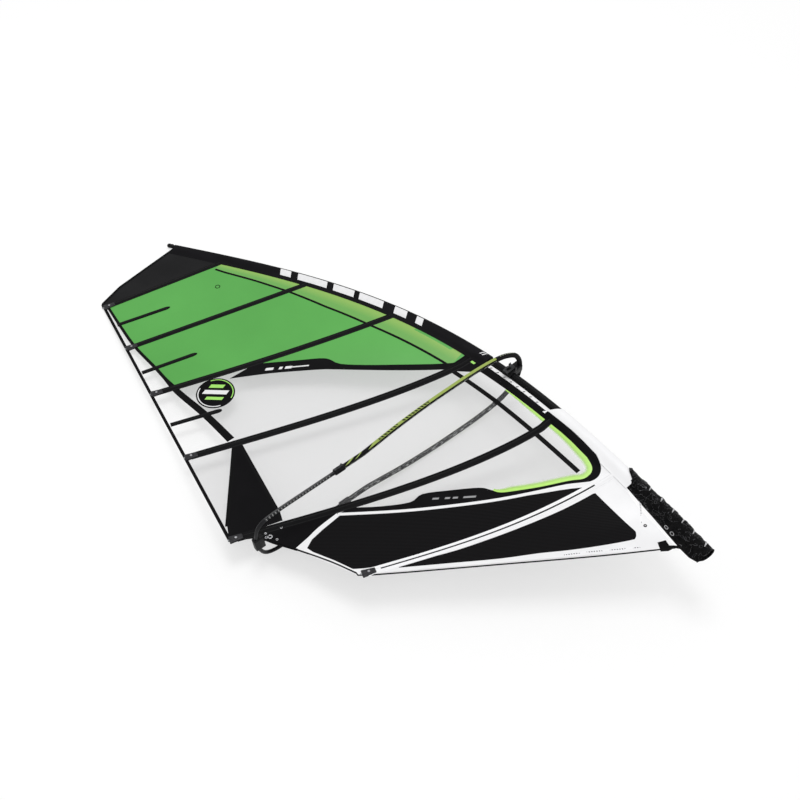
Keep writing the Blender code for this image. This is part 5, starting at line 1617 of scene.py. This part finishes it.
foot = mast_frame(MAST_BOTTOM_END)
bright = brushed_finish("extension_finish", (0.56, 0.56, 0.58), 0.30)
low, high = EXTENSION_REACH
outline = [(EXTENSION_BORE, low), (EXTENSION_R, low)]
for number in range(4):
    outline += ring_groove(EXTENSION_R, 0.0005, 0.020 + number * 0.030, 0.0005, 0.0020)
outline += [(EXTENSION_R, high - 0.001), (EXTENSION_R - 0.001, high), (EXTENSION_BORE, high)]
put(turned(outline, 40, True), "extension_sleeve", foot, bright, ("extension_tube",),
    "mast_extension")

low, high = CUP_REACH
outline = [(0.0006, low + SOCKET_DEPTH), (SOCKET_R, low + SOCKET_DEPTH), (SOCKET_R, low), (CUP_R - 0.002, low),
           (CUP_R, low + 0.002)]
for number in range(4):
    outline += ring_groove(CUP_R, 0.0012, high - 0.028 + number * 0.006, 0.0010, 0.0040)
seat = EXTENSION_REACH[0] - 0.0003
outline += [(CUP_R - 0.002, high), (CUP_BORE, high), (CUP_BORE, seat), (0.0006, seat)]
cheeks = filled((CUP_BLOCK[0], evenly(BLOCK_WIDTH), CUP_BLOCK[1]), 0.0030, 3)
cut_away(cheeks, block((0.040, SLOT_WIDTH, 0.10), (CUP_R + 0.0055 + 0.020, 0.0, CUP_SHEAVE_UP)))
across = Matrix.Rotation(math.pi / 2, 4, 'X')
cup_axle = shift(DOWNHAUL_AFT, 0.0, CUP_SHEAVE_UP) @ across
cup = joined(turned(outline, 40), cheeks, moved(pin(AXLE_R, AXLE_HALF), cup_axle))
put(cup, "foot_cup", foot, black_plastic, ("base_cup",), "mast_extension")
sheave("base_pulley", foot @ cup_axle, "base_sheave")


# The tack pulley turns in a small moulded block behind the mast. A webbing strap from the sail's tack
# holds the block.
TACK_BLOCK = ((0.0275, 0.0625), (0.004, 0.044))
TACK_SLOT = ((0.0300, 0.0590), (-0.010, 0.0375))
TACK_SHEAVE_UP = 0.020
STRAP = ((0.060, 0.094), (0.0018, 0.0048), (0.010, 0.034))

shell = filled((TACK_BLOCK[0], evenly(BLOCK_WIDTH), TACK_BLOCK[1]), 0.0020, 3)
cut_away(shell, filled((TACK_SLOT[0], evenly(SLOT_WIDTH), TACK_SLOT[1])))
tack_axle = shift(DOWNHAUL_AFT, 0.0, TACK_SHEAVE_UP) @ across
axle = moved(pin(AXLE_R, AXLE_HALF), tack_axle)
put(joined(shell, axle, filled(STRAP, 0.0008)), "tack_pulley_block", foot, black_plastic,
    ("tack_block",))
sheave("tack_pulley", foot @ tack_axle, "tack_sheave")


# The clew's ring and eyelets are bright pressed metal. The outhaul line runs from the tail block through
# the ring and back, the downhaul between the foot's pulleys.
LINE_R = 0.0022
ON_SHEAVE = SHEAVE_GROOVE_R + LINE_R + 0.0003
CLEW_RING_AT = 1.990
RING_BORE = 0.0085
RING_GROOVE = 0.0115
RING_R = 0.0170


def ring_of(half, sides=36):
    return turned([(radius, -height) for radius, height in half] + list(half[::-1]), sides, True)


ring_metal = brushed_finish("ring_finish", (0.58, 0.58, 0.60), 0.26)
ring_at = (boom @ Vector((CLEW_RING_AT, 0.0, 0.0))).xy
ring_frame = sail_frame(ring_at, (1.0, 0.0))
ring_up = ring_frame.translation.z
ring_half = ((RING_GROOVE, 0.0026), (RING_R - 0.0010, 0.0030), (RING_R, 0.0038), (RING_R - 0.0006, 0.0048),
             (RING_R - 0.0022, 0.0055), (RING_BORE + 0.0030, 0.0055), (RING_BORE + 0.0008, 0.0050),
             (RING_BORE, 0.0038))
put(ring_of(ring_half), "clew_grommet", ring_frame, ring_metal, ("clew_ring",), sharp=50)
eyelet_half = ((EYELET_R[0], 0.0005), (EYELET_R[0], 0.0020), (EYELET_R[0] + 0.0010, 0.0030),
               (EYELET_R[1] - 0.0010, 0.0030), (EYELET_R[1], 0.0020))
for number, at in enumerate(CLEW_EYELETS):
    put(ring_of(eyelet_half, 28), f"clew_eyelet_{number + 1}", sail_frame(at, (1.0, 0.0)), ring_metal,
        sharp=50)


def arc(centre, radius, start, end, steps=12):
    turns = [math.radians(turn) for turn in steps_between(start, end, steps)]
    return [(centre[0] + radius * math.cos(turn), centre[1] + radius * math.sin(turn)) for turn in turns]


def rope_finish():
    """Braided cord: two sets of strands crossing round it."""
    made = new_finish("black_line_finish", (0.020, 0.020, 0.021), 0.75)
    strands = []
    for turn in (0.6, -0.6):
        place = pattern_map(made, False, (1.0, 0.004, 1.0), turn)
        strands.append(waves(made, place, 120.0))
    braid = figure(made, 'MAXIMUM', *strands)
    colours = ((0.3, (0.008, 0.008, 0.008)), (0.9, (0.030, 0.030, 0.032)))
    connect(made, ramp(made, braid, colours), "Base Color")
    bumped(made, braid, 0.5, 0.0006)
    return made


def held_line(name, route, place, node):
    """A line from fixed pieces to a sliding one, laid along its route."""
    made = round_tube(name, route, LINE_R, place, rope_line, (node,), None, sides=3)
    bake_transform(made)


rope_line = rope_finish()
face, slot_end = TAIL_BLOCK[0][0] - 0.0003, TAIL_SLOT[1] - 0.0003
lead = [(face, 0.042), (2.029, 0.042), (2.012, 0.028), (2.000, 0.012), (1.9925, ring_up + 0.012),
        (1.9900, ring_up + 0.003), (1.9900, ring_up - 0.005), (1.9930, ring_up - 0.0095),
        (2.000, ring_up - 0.0105), (2.012, ring_up - 0.007), (2.030, ring_up + 0.002)]
lead += arc((TAIL_SHEAVE_AT, 0.0), ON_SHEAVE, -90, 0)
lead += [(TAIL_SHEAVE_AT + ON_SHEAVE, slot_end / 2), (TAIL_SHEAVE_AT + ON_SHEAVE, slot_end)]
held_line("outhaul_rope", [Vector((x, y, 0.0)) for x, y in lead], boom, "outhaul_line")
fore = DOWNHAUL_AFT - ON_SHEAVE
haul = [(0.0277, CUP_BLOCK[1][1] + 0.0003), (fore, -0.120), (fore, -0.060), (fore, -0.030)]
haul += arc((DOWNHAUL_AFT, TACK_SHEAVE_UP), ON_SHEAVE, 180, 0)
haul += [(DOWNHAUL_AFT + ON_SHEAVE, -0.060), (DOWNHAUL_AFT + ON_SHEAVE, -0.120)]
haul += arc((DOWNHAUL_AFT, CUP_SHEAVE_UP), ON_SHEAVE, 0, -90)
haul += [(CUP_R + 0.0058, CUP_SHEAVE_UP - ON_SHEAVE)]
held_line("downhaul_rope", [Vector((x, 0.0, z)) for x, z in haul], foot, "downhaul_line")


# The soft cover is thick black neoprene wrapped round the mast foot: a pointed tongue runs up the mast,
# the lips lie flat on each other along the aft side, and the mouth has a bound rim. It creases where it
# is pulled round the mast, and pale stitches and two printed rings lie on it.
COVER_STATIONS = ((0.530, 0.99, 0.067), (0.452, 0.98, 0.073), (0.300, 0.98, 0.085), (0.190, 1.00, 0.091),
                  (0.080, 1.02, 0.099), (-0.030, 1.02, 0.106), (-0.100, 1.02, 0.104), (-0.145, 1.00, 0.086))
COVER_HALF = ((-0.043, 0.0), (-0.031, 0.030), (0.0, 0.042), (0.036, 0.036), (0.064, 0.020), (0.085, 0.008),
              (0.105, 0.005))
COVER_TOP = ((-1.0, 0.452), (-0.40, 0.456), (0.0, 0.495), (0.22, 0.527), (0.36, 0.500), (0.50, 0.456),
             (1.0, 0.452))
COVER_THICK = 0.0032
COVER_GIRTH = 0.178
COVER_ALONG = 150
COVER_ROUND = 10
CREASE = 0.0120
STITCHES_AT = (0.345, 0.252, 0.160, 0.080, -0.006, -0.100)
STITCH_WIDTHS = ((0.0, 0.005), (0.35, 0.010), (1.0, 0.003))
RINGS_AT = ((0.108, 0.150), (0.060, 0.150))


def cover_profile():
    """Half of the cover's section from nose to lip, with a round nose."""
    aft, up = COVER_HALF[1]
    return through(((aft, -up),) + COVER_HALF, COVER_ROUND)[COVER_ROUND:]


def cover_skin(u, place):
    """Point of the outside: place runs from -1, at one lip, over the nose at 0 to 1."""
    stations, sizes, reaches = zip(*COVER_STATIONS[::-1])
    size, reach = float(np.interp(u, stations, sizes)), float(np.interp(u, stations, reaches))
    spot = abs(place) * (len(profile) - 1)
    part = min(int(spot), len(profile) - 2)
    aft, up = profile[part].lerp(profile[part + 1], spot - part)
    out = Vector((aft - 0.030, up)).normalized()
    side = place if place > 0 else 1.7 * place
    folds = noise.noise(Vector((u * 21 + side * 3.0, side * 2.0, 2.0)))
    ridge = 1.0 - abs(noise.noise(Vector((u * 27 - side * 5.0, side * 2.6, 4.0)))) * 3.2
    fine = noise.noise(Vector((u * 62 + side * 9.0, side * 7.0, 9.0)))
    held = min(1.0, (1 - abs(place)) * 6) * min(1.0, abs(u + 0.145) * 30)
    near_nose = 0.25 + 0.75 * (1 - abs(place)) ** 0.6
    crease = CREASE * max(0.95 * folds + 0.40 * ridge + 0.25 * fine - 0.30, -0.30) * held * near_nose
    aft = aft * size if aft < 0 else aft * reach / COVER_HALF[-1][0]
    aft, up = aft + out.x * crease, up * size + out.y * crease
    return by_mast(u, aft, up if place > 0 else -up)


def on_cover(u, around):
    """Spot on the cover, a little proud of it; around is measured in metres from the nose."""
    place = around / COVER_GIRTH
    near, ahead, aside = cover_skin(u, place), cover_skin(u + 0.002, place), cover_skin(u, place + 0.01)
    out = (aside - near).cross(ahead - near).normalized()
    return near + out * (0.0006 if out.z > 0 else -0.0006)


def neoprene_finish():
    """Knitted face over rubber foam, with a slight gloss and thin pale lines painted on as highlights on its
    creases.
    """
    made = new_finish("soft_cover_finish", (0.003, 0.003, 0.0033), 0.22, gloss=0.07)
    place = pattern_map(made, True)
    drawn = mottled(made, place, 18.0, (0.0012, 0.0012, 0.0014), (0.0040, 0.0040, 0.0043), 6.0)
    knit = add_node(made, "TexVoronoi", {"Vector": place, "Scale": 900.0})
    folds = clouds(made, place, 30.0, distortion=2.4)
    # Thin pale lines from a band of noise are painted highlights, standing in for glints on the creases.
    painted_crease_glints = in_band(made, clouds(made, place, 13.0, 1.0, 2.0), 0.54, 0.0035)
    connect(made, two_tone(made, painted_crease_glints, drawn, (0.17, 0.17, 0.18)), "Base Color")
    both = figure(made, 'MULTIPLY_ADD', knit.outputs["Distance"], 0.08, folds)
    bumped(made, both, 0.90, 0.0130)
    return made


cover_cloth = neoprene_finish()
profile = cover_profile()
places = [place if place else 1e-6 for place in steps_between(-1.0, 1.0, 64)]
tops = [float(np.interp(place, *zip(*COVER_TOP))) for place in places]
verts, uvs = [], []
for share in steps_between(0.0, 1.0, COVER_ALONG):
    for place, top in zip(places, tops):
        u = top + (COVER_STATIONS[-1][0] - top) * share
        verts.append(cover_skin(u, place))
        uvs.append((place, u))
cover = cover_object("foot_cover", verts, grid_faces(COVER_ALONG, len(places)), uvs, cover_cloth)
apply_step(cover, 'SOLIDIFY', thickness=COVER_THICK, offset=-1.0)
finish_piece(cover, ("tack_cover",), sharp=60)
rim = [cover_skin(COVER_STATIONS[-1][0], place) for place in places]
on_it = [round_tube("cover_rim", rim, 0.0030, still, cover_cloth)]
trims_before = len(trims)
thread = ink("cover_stitch_finish", (0.44, 0.44, 0.45))
for number, u in enumerate(STITCHES_AT):
    stitch = [(u + 0.012, 0.026), (u + 0.002, 0.038), (u - 0.010, 0.062)]
    on_it.append(tape_along(f"cover_stitch_{number + 1}", stitch, STITCH_WIDTHS, thread,
                            0.0016, on_cover, step=0.004))
for number, middle in enumerate(RINGS_AT):
    loop = disc(middle, 0.0120, 24)
    on_it.append(tape_along(f"cover_ring_{number + 1}", loop + loop[:1], plain_width(0.0030), thread,
                            0.0014, on_cover, step=0.003))
del trims[trims_before:]
wide = 2 * COVER_GIRTH + 0.02


# The sail's cloths are cut flat and stretched between the sleeve and the battens. Each one's tapes,
# pockets and prints are those that lie on it, or nearest to it.
def holds(loop, spot):
    """Whether the spot lies inside the loop."""
    to_right = 0
    for start, end in zip(loop, loop[1:] + loop[:1]):
        if (start.y > spot.y) != (end.y > spot.y):
            share = (spot.y - start.y) / (end.y - start.y)
            to_right += start.x + share * (end.x - start.x) > spot.x
    return to_right % 2 == 1


sewn_on = [[] for _ in cloths]
for trim, spot in trims:
    under = [index for index, cloth in enumerate(cloths) if holds(cloth[1], spot)]
    if not under:
        gaps = [min((point - spot).length for point in cloth[1]) for cloth in cloths]
        under = [gaps.index(min(gaps))]
    sewn_on[under[-1]].append(trim)


# The studio: a plain pale floor that keeps the rig's shadow, soft light all round and one broad lamp,
# and the camera where the photograph was taken from, high over the leech and looking down the sail.
FLOOR_SIZE = 60.0
FLOOR_DROP = 0.0030
SHADOW_SHOWS = 0.40
SHADOW_REACH = (4.5, 12.0)
EYE = (-0.675, 2.995, 4.620)
LOOK = ((-0.76756, -0.63895, -0.05095), (0.46138, -0.60593, 0.64806), (-0.44495, 0.47391, 0.75989))
FOCAL_PIXELS = 898.0
FRAME_PIXELS = 800.0
WORLD_LEVEL = 0.76
KEY_WATTS = 580.0
KEY_AT = (-1.6, 2.1, 12.0)
KEY_SIZE = 5.2
SENSOR_MM = 36.0
SIGHT_END = 200.0


def seen_or_mirrored(made):
    """1 for rays from the camera, and for what gloss and clear film show; 0 for other light."""
    path = add_node(made, "LightPath")
    first = figure(made, 'MAXIMUM', path.outputs["Is Camera Ray"], path.outputs["Is Glossy Ray"])
    return figure(made, 'MAXIMUM', first, path.outputs["Is Transmission Ray"])


def floor_finish():
    made = new_finish("floor_finish", (0.97, 0.97, 0.97), 0.90)
    glow = add_node(made, "Emission", {"Color": (1.0, 1.0, 1.0, 1.0), "Strength": 1.0})
    far = add_node(made, "VectorMath", {0: pattern_map(made, True)}, operation='LENGTH').outputs["Value"]
    plain = add_node(made, "MapRange", {"Value": far, "From Min": SHADOW_REACH[0], "From Max": SHADOW_REACH[1],
                                        "To Min": 1 - SHADOW_SHOWS, "To Max": 1.0}).outputs[0]
    shown = figure(made, 'MULTIPLY', seen_or_mirrored(made), plain)
    mix = add_node(made, "MixShader", {0: shown, 1: shader_of(made).outputs[0], 2: glow.outputs[0]})
    made.node_tree.links.new(mix.outputs[0], made.node_tree.nodes["Material Output"].inputs["Surface"])
    return made


bpy.ops.mesh.primitive_plane_add(size=FLOOR_SIZE, location=(0.0, 0.0, -FLOOR_DROP))
floor = bpy.context.object
floor.name = "floor"
floor.data.materials.append(floor_finish())

world = bpy.data.worlds.new("studio")
world.use_nodes = True
bpy.context.scene.world = world
background = world.node_tree.nodes["Background"]
path = world.node_tree.nodes.new("ShaderNodeLightPath")
level = world.node_tree.nodes.new("ShaderNodeMapRange")
level.inputs["To Min"].default_value = WORLD_LEVEL
level.inputs["To Max"].default_value = 1.0
world.node_tree.links.new(path.outputs["Is Camera Ray"], level.inputs["Value"])
world.node_tree.links.new(level.outputs["Result"], background.inputs["Strength"])
background.inputs["Color"].default_value = (1.0, 1.0, 1.0, 1.0)

key = bpy.data.lights.new("key", 'AREA')
key.shape = 'RECTANGLE'
key.size = key.size_y = KEY_SIZE
key.energy = KEY_WATTS
lamp = bpy.data.objects.new("key", key)
lamp.location = KEY_AT
lamp.rotation_euler = (-Vector(KEY_AT)).to_track_quat('-Z', 'Y').to_euler()
bpy.context.collection.objects.link(lamp)

lens = bpy.data.cameras.new("camera")
lens.sensor_width = SENSOR_MM
lens.lens = FOCAL_PIXELS / FRAME_PIXELS * SENSOR_MM
lens.clip_end = SIGHT_END
camera = bpy.data.objects.new("camera", lens)
camera.matrix_world = rig @ Matrix.Translation(EYE) @ Matrix(LOOK).transposed().to_4x4()
bpy.context.collection.objects.link(camera)
bpy.context.scene.camera = camera
bpy.context.scene.view_settings.view_transform = 'Standard'
